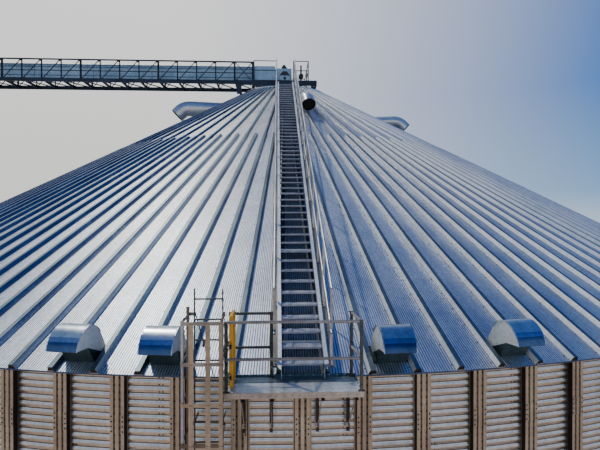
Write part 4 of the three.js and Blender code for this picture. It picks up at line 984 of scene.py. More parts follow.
def vent_hood(maker, azimuth):
    """One vent: curved hood, cut side plates, box throat, rolled lip and wire screen."""

    def at(climb, lift, across):
        return tuple(roof_point(azimuth, climb, lift, across))

    away, sideways = slope_frame(azimuth)[1:]
    across = (-VENT_HALF, VENT_HALF)
    within = (-VENT_HALF + HOOD_SHEET_T, VENT_HALF - HOOD_SHEET_T)
    maker.skin([[at(s, n, x) for s, n in HOOD_CURVE] for x in reversed(across)], HOOD_STRIPS,
               soft=True)
    shaded_underside = [(s + HOOD_SHEET_T / 2, n - HOOD_SHEET_T) for s, n in HOOD_CURVE[:SHADED_UNDERSIDE_POINTS]]
    maker.skin([[at(s, n, x) for x in within] for s, n in shaded_underside], PAINTED_SHADE, soft=True)
    maker.skin([[at(s, n, x) for x in across] for s, n in THROAT], THROAT_SHEET)
    for side in (-1, 1):
        x = side * VENT_HALF
        plate = [at(s, n, x) for s, n in [THROAT_BACK, THROAT[1]] + HOOD_CURVE]
        maker.add(plate, [tuple(range(len(plate)))], HOOD_SIDE)
        corner = [at(s, n, x) for s, n in THROAT + [THROAT_BACK]]
        maker.add(corner, [tuple(range(len(corner)))], THROAT_SHEET)
        # The side plate is turned out under the hood's edge and again where it meets the roof
        maker.skin([[at(s, n - SIDE_FLANGE_DROP, x + turn) for turn in (0, side * SIDE_FLANGE)]
                    for s, n in HOOD_CURVE[:-2]])
        maker.skin([[at(s, FOOT_FLANGE_LIFT, x), at(s, FOOT_FLANGE_LIFT, x + side * FOOT_FLANGE)]
                    for s in (THROAT[0][0], HOOD_CURVE[-1][0])], THROAT_SHEET)
        for s in HOOD_SCREWS:
            maker.dome(at(s, FOOT_FLANGE_LIFT, x + side * FOOT_FLANGE / 2), away, FOOT_SCREW,
                       BOLTS_AND_END_SHADE)
            maker.dome(at(s, SIDE_SCREW_LIFT + s / 4, x), sideways * side, SIDE_SCREW, BOLTS_AND_END_SHADE)
    # Rolled lip, and a wire screen set back before a dark plate of painted shade in the throat
    lip = [place + shift for place, shift in zip(HOOD_CURVE[0], LIP_SHIFT)]
    maker.tube([at(*lip, x) for x in across], LIP_R, LIP_SHEET, 6)
    low, high = THROAT[1], SCREEN_TOP
    maker.skin([[at(s, n, x) for x in within] for s, n in (low, high)], PAINTED_SHADE)
    for k in range(1, SCREEN_WIRES):
        share = k / SCREEN_WIRES
        s = low[0] + (high[0] - low[0]) * share - WIRE_PROUD
        n = low[1] + (high[1] - low[1]) * share
        maker.tube([at(s, n, x) for x in within], WIRE_R, HOOD_SHEET, 4)


for i, azimuth in enumerate(SHOWN_VENTS):
    hood = Maker(HOOD_SHEET)
    vent_hood(hood, azimuth)
    piece(f"vent_hood_{i + 1}", hood, [f"eave_vent_{i + 1}"])

for i in range(ROOF_SEGMENTS):
    hoods = Maker(HOOD_SHEET)
    start = (i - 0.5) * QUARTER
    for k in range(1, VENT_COUNT + 1):
        azimuth = SHOWN_VENTS[-1] + k * VENT_STEP
        if (azimuth - start) % 360 < QUARTER:
            vent_hood(hoods, azimuth)
    piece(f"vent_hoods_round_{i + 1}", hoods, [f"roof_lower_{i + 1}"])

# ---- Peak ring, cap and exhaust ducts ----

COLLAR_R = RING_R - 0.012
COLLAR_SIDES = 64
# Radius and height of the collar, its beaded rim and the cap's flat
COLLAR = [
    (COLLAR_R, roof_z(RING_R) - 0.05), (COLLAR_R, CAP_Z - 0.03), (COLLAR_R + 0.006, CAP_Z - 0.012),
    (COLLAR_R - 0.004, CAP_Z + 0.018), (COLLAR_R - 0.06, CAP_Z + 0.020), (0.42, CAP_Z + 0.020),
]
COLLAR_BOLTS = 48
COLLAR_BOLT_DROP = 0.08
COLLAR_BOLT = (0.012, 0.010)


def peak_collar():
    """The ring that closes the cone, with its beaded rim, bolts and the cap's flat."""
    maker = Maker(ROOF_SHEET)
    turns = [360 * k / COLLAR_SIDES for k in range(COLLAR_SIDES)]
    maker.skin([[wall_point(a, r, 0, z) for a in turns] for r, z in COLLAR], closed=True)
    for k in range(COLLAR_BOLTS):
        azimuth = 360 / COLLAR_BOLTS * k
        maker.dome(wall_point(azimuth, COLLAR_R, 0, CAP_Z - COLLAR_BOLT_DROP), outward(azimuth),
                   COLLAR_BOLT, BOLTS_AND_END_SHADE)
    return maker


piece("peak_collar_sheet", peak_collar(), ["peak_ring", "peak_cap"])

# Azimuth and radius of each duct, and its mouth's distance from the axis and height over the eave
DUCTS = [(8.0, 0.29, 6.400, 7.150), (78.0, 0.29, 6.400, 7.200), (188.0, 0.29, 6.400, 7.150),
         (278.5, 0.38, 5.650, 7.870)]
DUCT_SIDES = 36
DUCT_DROP = 0.380
DUCT_IN_ROOF = 0.35
DUCT_INSIDE = 0.97
ELBOW = 45
ELBOW_BEND = 0.42
ELBOW_SPREAD = 1.6
ELBOW_STEPS = 6
MOUTH_LIP = 0.012
MOUTH_DEPTH = 0.03
# Each joint band's point along the duct and its half width, and how far bands stand out
BANDS = ((1, 0.012), (7, 0.012), (8, 0.02))
BAND_SPREAD = 1.03


def duct_line(mouth_r, mouth_z):
    """Distance from the axis and height of the duct's middle line: level, elbow, mouth."""
    level = EAVE_Z + mouth_z + DUCT_DROP
    elbow = mouth_r - DUCT_DROP
    start = EAVE_R - (mouth_z + DUCT_DROP) / SLOPE - DUCT_IN_ROOF
    bend = ELBOW_BEND * math.tan(math.radians(ELBOW / 2)) * ELBOW_SPREAD
    down = math.radians(ELBOW)
    a, b = (elbow - bend, level), (elbow, level)
    c = (elbow + bend * math.cos(down), level - bend * math.sin(down))
    line = [(start, level), a]
    for k in range(1, ELBOW_STEPS):
        t = k / ELBOW_STEPS
        line.append(tuple((1 - t) ** 2 * a[i] + 2 * t * (1 - t) * b[i] + t * t * c[i]
                          for i in (0, 1)))
    return line + [c, (mouth_r - MOUTH_LIP, EAVE_Z + mouth_z + MOUTH_LIP)]


def exhaust_duct(azimuth, radius, mouth_r, mouth_z):
    """A level round duct with an elbow turned down to a beaded mouth, bands at its joints."""
    maker = Maker(DUCT_SHEET)
    points = [Vector((*plan(azimuth, r), z)) for r, z in duct_line(mouth_r, mouth_z)]
    side = slope_frame(azimuth)[2]
    ring = circle(radius, DUCT_SIDES)
    maker.sweep(points, ring, soft=True, caps=False)
    inside = [(x * DUCT_INSIDE, y * DUCT_INSIDE) for x, y in ring]
    # The duct's inside and the disc at its depth are painted shade
    maker.sweep(points[1:], inside, finish=PAINTED_SHADE, soft=True, caps=False)
    out = (points[-1] - points[-2]).normalized()
    maker.disc(points[-1] - out * MOUTH_DEPTH, out, radius * DUCT_INSIDE, DUCT_DEPTH_SHADE, DUCT_SIDES)
    for k, width in BANDS:
        at = points[k]
        along = (at - points[k - 1]).normalized()
        lift = side.cross(along)
        band = [(x * BAND_SPREAD, y * BAND_SPREAD) for x, y in ring]
        ends = (-width, width * 0.5)
        maker.sweep([at + along * end for end in ends], band, soft=True, caps=False)
        for end in ends:
            maker.skin([[tuple(at + along * end + side * -x * size + lift * y * size)
                         for x, y in ring] for size in (DUCT_INSIDE, BAND_SPREAD)], closed=True)
    return maker


for i, duct in enumerate(DUCTS):
    piece(f"round_duct_{i + 1}", exhaust_duct(*duct), [f"exhaust_duct_{i + 1}"])

# ---- Roof stair ----

TREAD_RUN = 0.304
TREAD_RISE = TREAD_RUN * SLOPE
TREAD_COUNT = 53
TREAD_DEPTH = 0.240
TREAD_EDGE = 0.034
TREAD_PLAY = 0.003
TREAD_END_T = 0.004
TREAD_GROOVES = 4
GROOVE_PITCH = 0.050
FIRST_TREAD_Y = -18.530
FIRST_TREAD_Z = EAVE_Z + 0.230
STUD = (0.007, 0.003)
STUD_ROWS = 5
STUDS_ACROSS = 11
STUD_PITCH = 0.054
STAIR_HALF = 0.320
STRINGER_HALF = 0.060
STRINGER_FLANGE = 0.060
STRINGER_T = 0.006
STAIR_FOOT_Y = FIRST_TREAD_Y - 0.060
STAIR_TOP_Y = FIRST_TREAD_Y + (TREAD_COUNT - 1) * TREAD_RUN + TREAD_DEPTH
# Inner and outer face of the channel that carries the rail posts, its depth and its holes
SIDE_CHANNEL = (0.385, 0.485)
SIDE_CHANNEL_DEPTH = 0.040
SIDE_CHANNEL_DROP = 0.045
SIDE_HOLE_DROP = 0.0435
SIDE_HOLE_R = 0.008
SIDE_HOLE_PITCH = 0.076
CROSS_EVERY = 8
CROSS_HALF = 0.40
CROSS_LIFT = 0.102
UPRIGHT_X = 0.36
RAIL_R = 0.021
STAIR_RAIL_X = 0.430
STAIR_RAIL_TOP = 1.150
STAIR_RAIL_MID = 0.480
STAIR_POST_EVERY = 4
STAIR_POST_LEG = 0.036
SLEEVE_HALF = 0.035
SLEEVE_PROUD = 0.005
DECK_Z = EAVE_Z + 0.015
PLATFORM_REAR = -18.450
PLATFORM_FRONT = -19.140
PLATFORM_LEFT = -1.115
PLATFORM_RIGHT = 0.815


def nosing_z(y):
    """Height of the line along the treads' front edges."""
    return FIRST_TREAD_Z + (y - FIRST_TREAD_Y) * SLOPE


def tread_section():
    """Front lip, a plank with shallow grooves, and a rear lip, as (back, up)."""
    section = [(0.004, -TREAD_EDGE), (0.0, -0.030), (0.0, -0.002), (0.002, 0.0)]
    for k in range(TREAD_GROOVES):
        y = 0.034 + GROOVE_PITCH * k
        section += [(y, 0.0), (y + 0.005, -0.006), (y + 0.014, -0.006), (y + 0.019, 0.0)]
    return section + [(0.238, 0.0), (TREAD_DEPTH, -0.002), (TREAD_DEPTH, -TREAD_EDGE)]


def stair_treads():
    """Pressed treads with end plates, bolts and raised grip studs."""
    maker = Maker(TREAD_STEEL)
    section = tread_section()
    rear = len(section) - 2
    # The lips and rear edge take the painted shade finish, the top the painted light
    strips = tuple(TREAD_STEEL if k < 3 or k == rear else LIT_TREAD_TOP for k in range(rear + 1))
    end_plate = [(0, -TREAD_EDGE), (TREAD_DEPTH, -TREAD_EDGE), (TREAD_DEPTH, 0), (0, 0)]
    for i in range(TREAD_COUNT):
        y0 = FIRST_TREAD_Y + i * TREAD_RUN
        z0 = FIRST_TREAD_Z + i * TREAD_RISE
        maker.skin([[(x, y0 + y, z0 + z) for y, z in section]
                    for x in (STAIR_HALF - TREAD_PLAY, -STAIR_HALF + TREAD_PLAY)], strips)
        for side in (-1, 1):
            maker.plate(end_plate, (side * (STAIR_HALF - TREAD_END_T), y0, z0), (0, 1, 0),
                        (0, 0, 1), -side * TREAD_END_T)
            for y in (0.06, 0.18):
                maker.hex_bolt((side * (STAIR_HALF + STRINGER_T), y0 + y, z0 - 0.018),
                               (side, 0, 0), HEAD_11, BOLTS_AND_END_SHADE)
        # Raised grip studs between the grooves
        for row in range(STUD_ROWS):
            for k in range(STUDS_ACROSS):
                point = (-0.27 + STUD_PITCH * k, y0 + 0.018 + GROOVE_PITCH * row, z0)
                maker.dome(point, (0, 0, 1), STUD, LIT_TREAD_TOP, 5)
    return maker


def stair_stringers():
    """Bright channel stringers, punched channels that carry the rail posts, and cross supports."""
    maker = Maker(ROOF_SHEET)
    off_slope = slope_frame(0)[1]
    inner, outer = SIDE_CHANNEL
    width = outer - inner
    depth, t = SIDE_CHANNEL_DEPTH, STRINGER_T
    trough = [(0, 0), (width, 0), (width, -depth), (width - t, -depth), (width - t, -t), (t, -t),
              (t, -depth), (0, -depth)]
    for side in (-1, 1):
        path = [(side * STAIR_HALF, y, nosing_z(y)) for y in (STAIR_FOOT_Y, STAIR_TOP_Y)]
        stringer = channel_section(2 * STRINGER_HALF * COS, STRINGER_FLANGE, t, side)
        maker.sweep(path, stringer)
        foot = [(STAIR_FOOT_Y, DECK_Z + 0.001), (PLATFORM_REAR - 0.02, DECK_Z + 0.001),
                (PLATFORM_REAR + 0.02, nosing_z(PLATFORM_REAR) - STRINGER_HALF + 0.01),
                (STAIR_FOOT_Y, nosing_z(STAIR_FOOT_Y) - STRINGER_HALF + 0.01)]
        x = side * (STAIR_HALF + (0.0 if side > 0 else t))
        maker.plate(foot, (x, 0, 0), (0, 1, 0), (0, 0, 1), t)
        path = [(side * inner, y, nosing_z(y) - SIDE_CHANNEL_DROP)
                for y in (STAIR_FOOT_Y + 0.05, STAIR_TOP_Y)]
        maker.sweep(path, handed(trough, side), finish=STIFFENER_STEEL)
        y = STAIR_FOOT_Y + 0.10
        while y < STAIR_TOP_Y - 0.05:
            hole = (side * (inner + outer) / 2, y, nosing_z(y) - SIDE_HOLE_DROP)
            maker.disc(hole, off_slope, SIDE_HOLE_R, PAINTED_SHADE)
            y += SIDE_HOLE_PITCH
    y = FIRST_TREAD_Y + 2 * TREAD_RUN
    while y < STAIR_TOP_Y - 1.0:
        # Cross angle on the ribs and its uprights
        foot = roof_z(-y) + CROSS_LIFT
        maker.sweep([(-CROSS_HALF, y, foot), (CROSS_HALF, y, foot)], angle_section(0.05, ANGLE_T))
        for x in (-UPRIGHT_X, UPRIGHT_X):
            maker.sweep([(x, y, foot), (x, y, nosing_z(y) - STRINGER_HALF)], rect(0.04, 0.006),
                        (0, 1, 0))
        y += CROSS_EVERY * TREAD_RUN
    return maker


def stair_rails():
    """Two sloping tubes a side on angle posts, with a sleeve where they cross."""
    maker = Maker(ACCESS_STEEL)
    start = FIRST_TREAD_Y - 0.040
    end = STAIR_TOP_Y - 0.060
    half_leg = STAIR_POST_LEG / 2
    for side in (-1, 1):
        x = side * STAIR_RAIL_X
        section = angle_section(STAIR_POST_LEG, ANGLE_T)
        if side > 0:
            section = mirrored(section)
        for height in (STAIR_RAIL_TOP, STAIR_RAIL_MID):
            maker.tube([(x, y, nosing_z(y) + height) for y in (start, end)], RAIL_R, sides=12)
        for i in range(0, TREAD_COUNT, STAIR_POST_EVERY):
            y = min(FIRST_TREAD_Y + i * TREAD_RUN + 0.030, end)
            foot = nosing_z(y) - 0.050
            top = nosing_z(y) + STAIR_RAIL_TOP
            maker.sweep([(x - side * half_leg, y - half_leg, z) for z in (foot, top)], section,
                        (0, 1, 0))
            for height in (0.0, 0.045):
                maker.hex_bolt((x - side * 0.02, y - 0.019, foot + 0.03 + height), (0, -1, 0),
                               HEAD_9, BOLTS_AND_END_SHADE)
            for height in (STAIR_RAIL_TOP, STAIR_RAIL_MID):
                z = nosing_z(y) + height
                maker.tube([(x, y + way, z + way * SLOPE) for way in (-SLEEVE_HALF, SLEEVE_HALF)],
                           RAIL_R + SLEEVE_PROUD, sides=12)
    return maker


STAIR_SECTIONS = ["stair_flight_1", "stair_flight_2", "stair_flight_3"]
piece("stair_treads", stair_treads(), STAIR_SECTIONS)
piece("stair_stringers", stair_stringers(), STAIR_SECTIONS)
piece("stair_handrails", stair_rails(), ["stair_rail_left", "stair_rail_right"])

# ---- Eave platform, guard rails and gate ----

PLANKS = 5
REAR_PLANKS = 2
PLANK_GAP = 0.002
PLANK_DEPTH = 0.040
PLANK_EASE = 0.003
# Rows of raised holes in each plank, and the holes in a row
HOLE_ROWS = 3
HOLES_IN_ROW = 46
HOLE_STEP = 0.04
RAISED_HOLE = (0.009, 0.003)
UPSTAND = 0.038
UPSTAND_T = 0.004
FRAME_DEPTH = 0.078
FRAME_FLANGE = 0.040
FRAME_T = 0.006
FRAME_HOLE_STEP = 0.11
BRACKET_X = [-0.890, -0.479, 0.225, 0.695]
BRACKET_DROP = 0.870
BRACKET_LEG = 0.05
BRACKET_HOLE_STEP = 0.055
WALL_FACE_Y = -(WALL_R + 0.097)
GUARD_TOP = 0.965
GUARD_MID = 0.455
GUARD_FROM_STAIR = 0.045
GUARD_TAPER = 0.040
GUARD_POST_R = 0.024
GUARD_SLEEVE_HALF = 0.022
GUARD_SLEEVE_PROUD = 0.004
GUARD_CORNER = 0.05
GUARD_FOOT = (0.045, 0.028, 0.008)
STRAP_POST = 0.052
STRAP_T = 0.006


def platform_floor():
    """Punched planks between channel edges; the two at the rear carry the painted deep-sky
    reflection.
    """
    maker = Maker(DECK_STEEL)
    width = (PLATFORM_REAR - PLATFORM_FRONT - 2 * FRAME_T) / PLANKS
    for k in range(PLANKS):
        y0 = PLATFORM_FRONT + FRAME_T + k * width + PLANK_GAP
        y1 = y0 + width - 2 * PLANK_GAP
        section = [(y0, -PLANK_DEPTH), (y0, -PLANK_EASE), (y0 + PLANK_EASE, 0),
                   (y1 - PLANK_EASE, 0), (y1, -PLANK_EASE), (y1, -PLANK_DEPTH)]
        maker.skin([[(x, y, DECK_Z + z) for x in (PLATFORM_LEFT + 0.008, PLATFORM_RIGHT - 0.008)]
                    for y, z in section], DEEP_SKY_STEEL if k >= PLANKS - REAR_PLANKS else None)
        for row in range(HOLE_ROWS):
            y = y0 + width * (0.2 + 0.3 * row)
            for n in range(HOLES_IN_ROW):
                x = PLATFORM_LEFT + 0.05 + HOLE_STEP * n + (HOLE_STEP / 2 if row % 2 else 0)
                maker.dome((x, y, DECK_Z), (0, 0, 1), RAISED_HOLE, None, 5)
                maker.disc((x, y, DECK_Z + 0.0032), (0, 0, 1), 0.004, PAINTED_SHADE)
        for x in (PLATFORM_LEFT + 0.03, PLATFORM_RIGHT - 0.03):
            maker.hex_bolt((x, (y0 + y1) / 2, DECK_Z), (0, 0, 1), (0.011, 0.008), BOLTS_AND_END_SHADE)
    # Upstand behind the rear plank
    rear = PLATFORM_REAR - FRAME_T
    maker.block((PLATFORM_LEFT + 0.01, rear - UPSTAND_T, DECK_Z),
                (PLATFORM_RIGHT - 0.01, rear, DECK_Z + UPSTAND), DEEP_SKY_STEEL, 0.001)
    x = PLATFORM_LEFT + 0.08
    while x < PLATFORM_RIGHT - 0.05:
        maker.dome((x, rear - UPSTAND_T, DECK_Z + UPSTAND / 2), (0, -1, 0), (0.009, 0.005))
        x += 0.12
    return maker


def platform_frame():
    """Light edge channels on four brown brackets, each of an upright, an arm and a strut."""
    maker = Maker(BRACKET_STEEL)
    low = DECK_Z - FRAME_DEPTH
    mid = (low + DECK_Z) / 2
    for y, turn in ((PLATFORM_FRONT, -1), (PLATFORM_REAR, 1)):
        maker.sweep([(PLATFORM_LEFT, y, mid), (PLATFORM_RIGHT, y, mid)],
                    channel_section(DECK_Z - low, FRAME_FLANGE, FRAME_T, turn),
                    finish=FASCIA_STEEL)
    for x, turn in ((PLATFORM_LEFT, 1), (PLATFORM_RIGHT, -1)):
        maker.sweep([(x, PLATFORM_FRONT + 0.003, mid - 0.001),
                     (x, PLATFORM_REAR - 0.003, mid - 0.001)],
                    channel_section(DECK_Z - low - 0.004, FRAME_FLANGE, FRAME_T, turn),
                    finish=FASCIA_STEEL)
    x = PLATFORM_LEFT + 0.06
    while x < PLATFORM_RIGHT:
        maker.disc((x, PLATFORM_FRONT - 0.0005, low + 0.035), (0, -1, 0), 0.007, PAINTED_SHADE)
        x += FRAME_HOLE_STEP
    angle = angle_section(BRACKET_LEG, ANGLE_T)
    foot = DECK_Z - BRACKET_DROP
    behind = PLATFORM_REAR + BRACKET_LEG
    for x in BRACKET_X:
        maker.sweep([(x + BRACKET_LEG / 2, behind, foot), (x + BRACKET_LEG / 2, behind, low)],
                    mirrored(angle), (0, -1, 0))
        arm_z = low - BRACKET_LEG
        maker.sweep([(x, PLATFORM_FRONT + 0.02, arm_z), (x, behind, arm_z)], angle)
        maker.sweep([(x + 0.006, PLATFORM_REAR + 0.02, foot + 0.10),
                     (x + 0.006, PLATFORM_FRONT + 0.06, low - 0.03)],
                    rect(0.006, 0.045), finish=FASCIA_STEEL)
        z = foot + 0.03
        while z < low - 0.02:
            maker.disc((x, PLATFORM_REAR - 0.0005, z), (0, -1, 0), 0.009, PAINTED_SHADE)
            z += BRACKET_HOLE_STEP
        for z in (foot + 0.12, foot + 0.40, low - 0.06):
            maker.hex_bolt((x + 0.012, PLATFORM_REAR - 0.001, z), (0, -1, 0), HEAD_13, BOLTS_AND_END_SHADE)
        for y in (PLATFORM_FRONT + 0.10, PLATFORM_FRONT + 0.35):
            maker.hex_bolt((x, y, low - 0.03), (-1, 0, 0), HEAD_12, BOLTS_AND_END_SHADE)
        # Pads that seat the upright on the wall's stiffeners
        for z in (foot + 0.10, low - 0.16):
            maker.block((x - 0.03, PLATFORM_REAR + 0.045, z - 0.04),
                        (x + 0.03, WALL_FACE_Y + 0.012, z + 0.04), FASCIA_STEEL, 0.003)
    return maker


def platform_guard():
    """Tube rails on tube posts, with a strap post at the ladder. The rear rails are duller."""
    maker = Maker(GUARD_STEEL)
    front = PLATFORM_FRONT + 0.030
    rear = PLATFORM_REAR - 0.030
    left = PLATFORM_LEFT + 0.030
    right = PLATFORM_RIGHT - 0.035
    rear_right = right - GUARD_TAPER
    beside = -STAIR_RAIL_X - GUARD_FROM_STAIR
    posts = [(right, front), (rear_right, rear), (left, rear), (beside, rear)]
    post_top = DECK_Z + GUARD_TOP + 0.012
    for x, y in posts:
        maker.tube([(x, y, DECK_Z), (x, y, post_top)], GUARD_POST_R, LADDER_STEEL, 12)
        for height in (0.10, GUARD_MID - 0.07, GUARD_MID + 0.07, GUARD_TOP - 0.07):
            maker.hex_bolt((x, y - GUARD_POST_R, DECK_Z + height), (0, -1, 0), HEAD_8, BOLTS_AND_END_SHADE)
    strap_left = left - STRAP_POST / 2
    maker.block((strap_left, front - STRAP_T, DECK_Z), (left + STRAP_POST / 2, front, post_top),
                LADDER_STEEL)
    maker.block((strap_left, front, DECK_Z), (strap_left + STRAP_T, front + STRAP_POST, post_top),
                LADDER_STEEL)
    height = 0.06
    while height < GUARD_TOP - 0.02:
        maker.hex_bolt((left, front - STRAP_T, DECK_Z + height), (0, -1, 0), HEAD_10, BOLTS_AND_END_SHADE)
        height += 0.11
    half_x, half_y, thick = GUARD_FOOT
    for x, y in posts + [(left, front)]:
        maker.block((x - half_x, y - half_y, DECK_Z), (x + half_x, y + half_y, DECK_Z + thick),
                    LADDER_STEEL, 0.002)
        for side in (-1, 1):
            maker.hex_bolt((x + side * 0.036, y, DECK_Z + thick), (0, 0, 1), (0.009, 0.009),
                           BOLTS_AND_END_SHADE)
    bend = (right - GUARD_CORNER, front + GUARD_CORNER)
    for height in (GUARD_TOP, GUARD_MID):
        z = DECK_Z + height
        path = [(left, front, z), (bend[0], front, z)]
        path += arc((*bend, z), GUARD_CORNER, -75, -6, 5, (1, 0, 0), (0, 1, 0))
        maker.tube(path + [(rear_right, rear, z)], RAIL_R, sides=12)
        maker.tube([(left, rear, z), (beside, rear, z)], RAIL_R, LADDER_STEEL, 12)
        for x, y in posts:
            maker.tube([(x, y, z + way) for way in (-GUARD_SLEEVE_HALF, GUARD_SLEEVE_HALF)],
                       GUARD_POST_R + GUARD_SLEEVE_PROUD, LADDER_STEEL, 12)
    return maker


HINGE = (-1.030, -19.045)
GATE_SPAN = (0.035, 0.505)
GATE_BOTTOM = DECK_Z + 0.020
GATE_TOP = DECK_Z + 1.040
GATE_T = 0.050
GATE_TUBE = 0.040
GATE_CORNER = 0.05
# Degrees left out at each end of a corner's arc, where the mitre turns the rest
CORNER_TRIM = 9
# The pressed panel's lines across it, how far each stands off the middle, and its margin
PANEL_LINES = 16
PANEL_PRESS = 0.004
PANEL_MARGIN = 0.03
KNUCKLES = (DECK_Z + 0.190, DECK_Z + 0.620)
KNUCKLE_HALF = 0.030
KNUCKLE_R = 0.014
# Near and far face of a hinge ear, up or down from the middle of its knuckle
EAR_NEAR = 0.0305
EAR_FAR = 0.042
PIN_END = 0.046
PIN_R = 0.009
# The ear's outline round the pin: back to the rail, and round the knuckle
HINGE_EAR = [(-0.07, -0.075), (0.010, -0.014), (0.014, 0.0), (0.010, 0.012), (-0.010, 0.014),
             (-0.075, -0.05)]


def gate():
    """Enamelled leaf: square-tube frame with eased corners round a pressed panel."""
    maker = Maker(GATE_ENAMEL)
    x, y = HINGE
    y0, y1 = y + GATE_SPAN[0], y + GATE_SPAN[1]
    c = GATE_CORNER
    loop = []
    for mid_y, mid_z, start in ((y1 - c, GATE_TOP - c, 0), (y0 + c, GATE_TOP - c, 90),
                                (y0 + c, GATE_BOTTOM + c, 180), (y1 - c, GATE_BOTTOM + c, 270)):
        loop += arc((x, mid_y, mid_z), c - GATE_TUBE / 2, start + CORNER_TRIM,
                    start + 90 - CORNER_TRIM, 4, (0, 1, 0), (0, 0, 1))
    maker.sweep(loop, rect(GATE_TUBE, GATE_T, 0.005), (1, 0, 0), loop=True)
    rows = []
    for k in range(PANEL_LINES + 1):
        line_y = y0 + PANEL_MARGIN + (y1 - y0 - 2 * PANEL_MARGIN) * k / PANEL_LINES
        line_x = x + (PANEL_PRESS if k % 2 else -PANEL_PRESS)
        rows.append([(line_x, line_y, z)
                     for z in (GATE_BOTTOM + PANEL_MARGIN, GATE_TOP - PANEL_MARGIN)])
    maker.skin(rows)
    for z in KNUCKLES:
        maker.tube([(x, y, z - KNUCKLE_HALF), (x, y, z + KNUCKLE_HALF)], KNUCKLE_R, BOLTS_AND_END_SHADE, 12)
        maker.block((x - 0.006, y, z - 0.026), (x + 0.006, y0 + 0.05, z + 0.026), BOLTS_AND_END_SHADE, 0.001)
        for along in (0.045, 0.070):
            for side in (-1, 1):
                maker.hex_bolt((x + side * 0.016, y + along, z), (side, 0, 0), HEAD_7, BOLTS_AND_END_SHADE)
    return maker


def hinge_ears():
    """Ears above and below each knuckle, with the pin's ends showing."""
    maker = Maker(GUARD_STEEL)
    x, y = HINGE
    for z in KNUCKLES:
        for low, high in ((z - EAR_FAR, z - EAR_NEAR), (z + EAR_NEAR, z + EAR_FAR)):
            maker.plate(HINGE_EAR, (x, y, low), (1, 0, 0), (0, 1, 0), high - low)
        for low, high in ((z - PIN_END, z - EAR_NEAR), (z + EAR_NEAR, z + PIN_END)):
            maker.tube([(x, y, low), (x, y, high)], PIN_R, BOLTS_AND_END_SHADE)
    return maker


piece("platform_planks", platform_floor(), ["platform_deck"])
piece("platform_brackets", platform_frame(), ["platform_frame"])
piece("platform_guard_rails", platform_guard(),
      ["platform_rail", "platform_rear_rail"])
piece("gate_hinge_ears", hinge_ears(), ["platform_rail"])
piece("gate_panel", gate(), ["gate_leaf"], body="gate")

# ---- Caged ladder ----

LADDER_X = -1.388
LADDER_HALF = 0.205
LADDER_Y = -18.640
LADDER_FOOT = 0.250
LADDER_TOP = EAVE_Z + 1.380
LADDER_RAIL = rect(0.014, 0.060, 0.002)
RUNG_PITCH = 0.300
RUNG_R = 0.0125
RUNG_PROUD = 0.004
FIRST_RUNG_DROP = 0.150
# Ties to the wall, on every ninth rung from the seventh down
TIE = rect(0.008, 0.050, 0.001)
TIE_EVERY = 9
FIRST_TIE = 6
HIGHEST_TIE = EAVE_Z - 0.3
# Braces to the roof: the pan they stand on, their place up the slope, and the plate under them
BRACE_PAN = -4.5
BRACE_FOOT = 0.700
BRACE_TOP = EAVE_Z + 1.070
BRACE = rect(0.008, 0.045)
BRACE_PLATE = rect(0.045, 0.008)
BRACE_PLATE_HALF = 0.060
CAGE_TOP = EAVE_Z + 1.037
CAGE_FOOT = 2.300
CAGE_FRONT = LADDER_Y - 0.700
CAGE_LEFT = -1.668
CAGE_RIGHT = -1.140
CAGE_FRONT_RIGHT = -1.091
CAGE_CORNER = 0.02
HOOP_PITCH = 0.540
HOOP_HALF = 0.025
HOOP = rect(0.006, 2 * HOOP_HALF)
HOOP_RIVET = (0.008, 0.006)
RIVET_X = 0.014
# Finish of the upper hoops, from the top down; the fourth's brown is painted shade. Those below are
# as dusty as the stiffeners
TOP_HOOPS = (GUARD_STEEL, GUARD_STEEL, STIFFENER_STEEL, POST_STEEL)
# Each front strap's place and width
FRONT_STRAPS = ((-1.522, 0.064), (-1.300, 0.064), (-1.131, 0.054))
STRAP_FOOT_DROP = 0.03
SIDE_STRAP = rect(0.005, 0.050)
SIDE_STRAP_BACK = 0.33
CORNER_LINK = rect(0.005, 0.020)
CORNER_TUBE_R = 0.022
REAR_POST_Y = -18.716
REAR_POST_TOP = EAVE_Z + 1.130
REAR_POST_LEG = 0.040


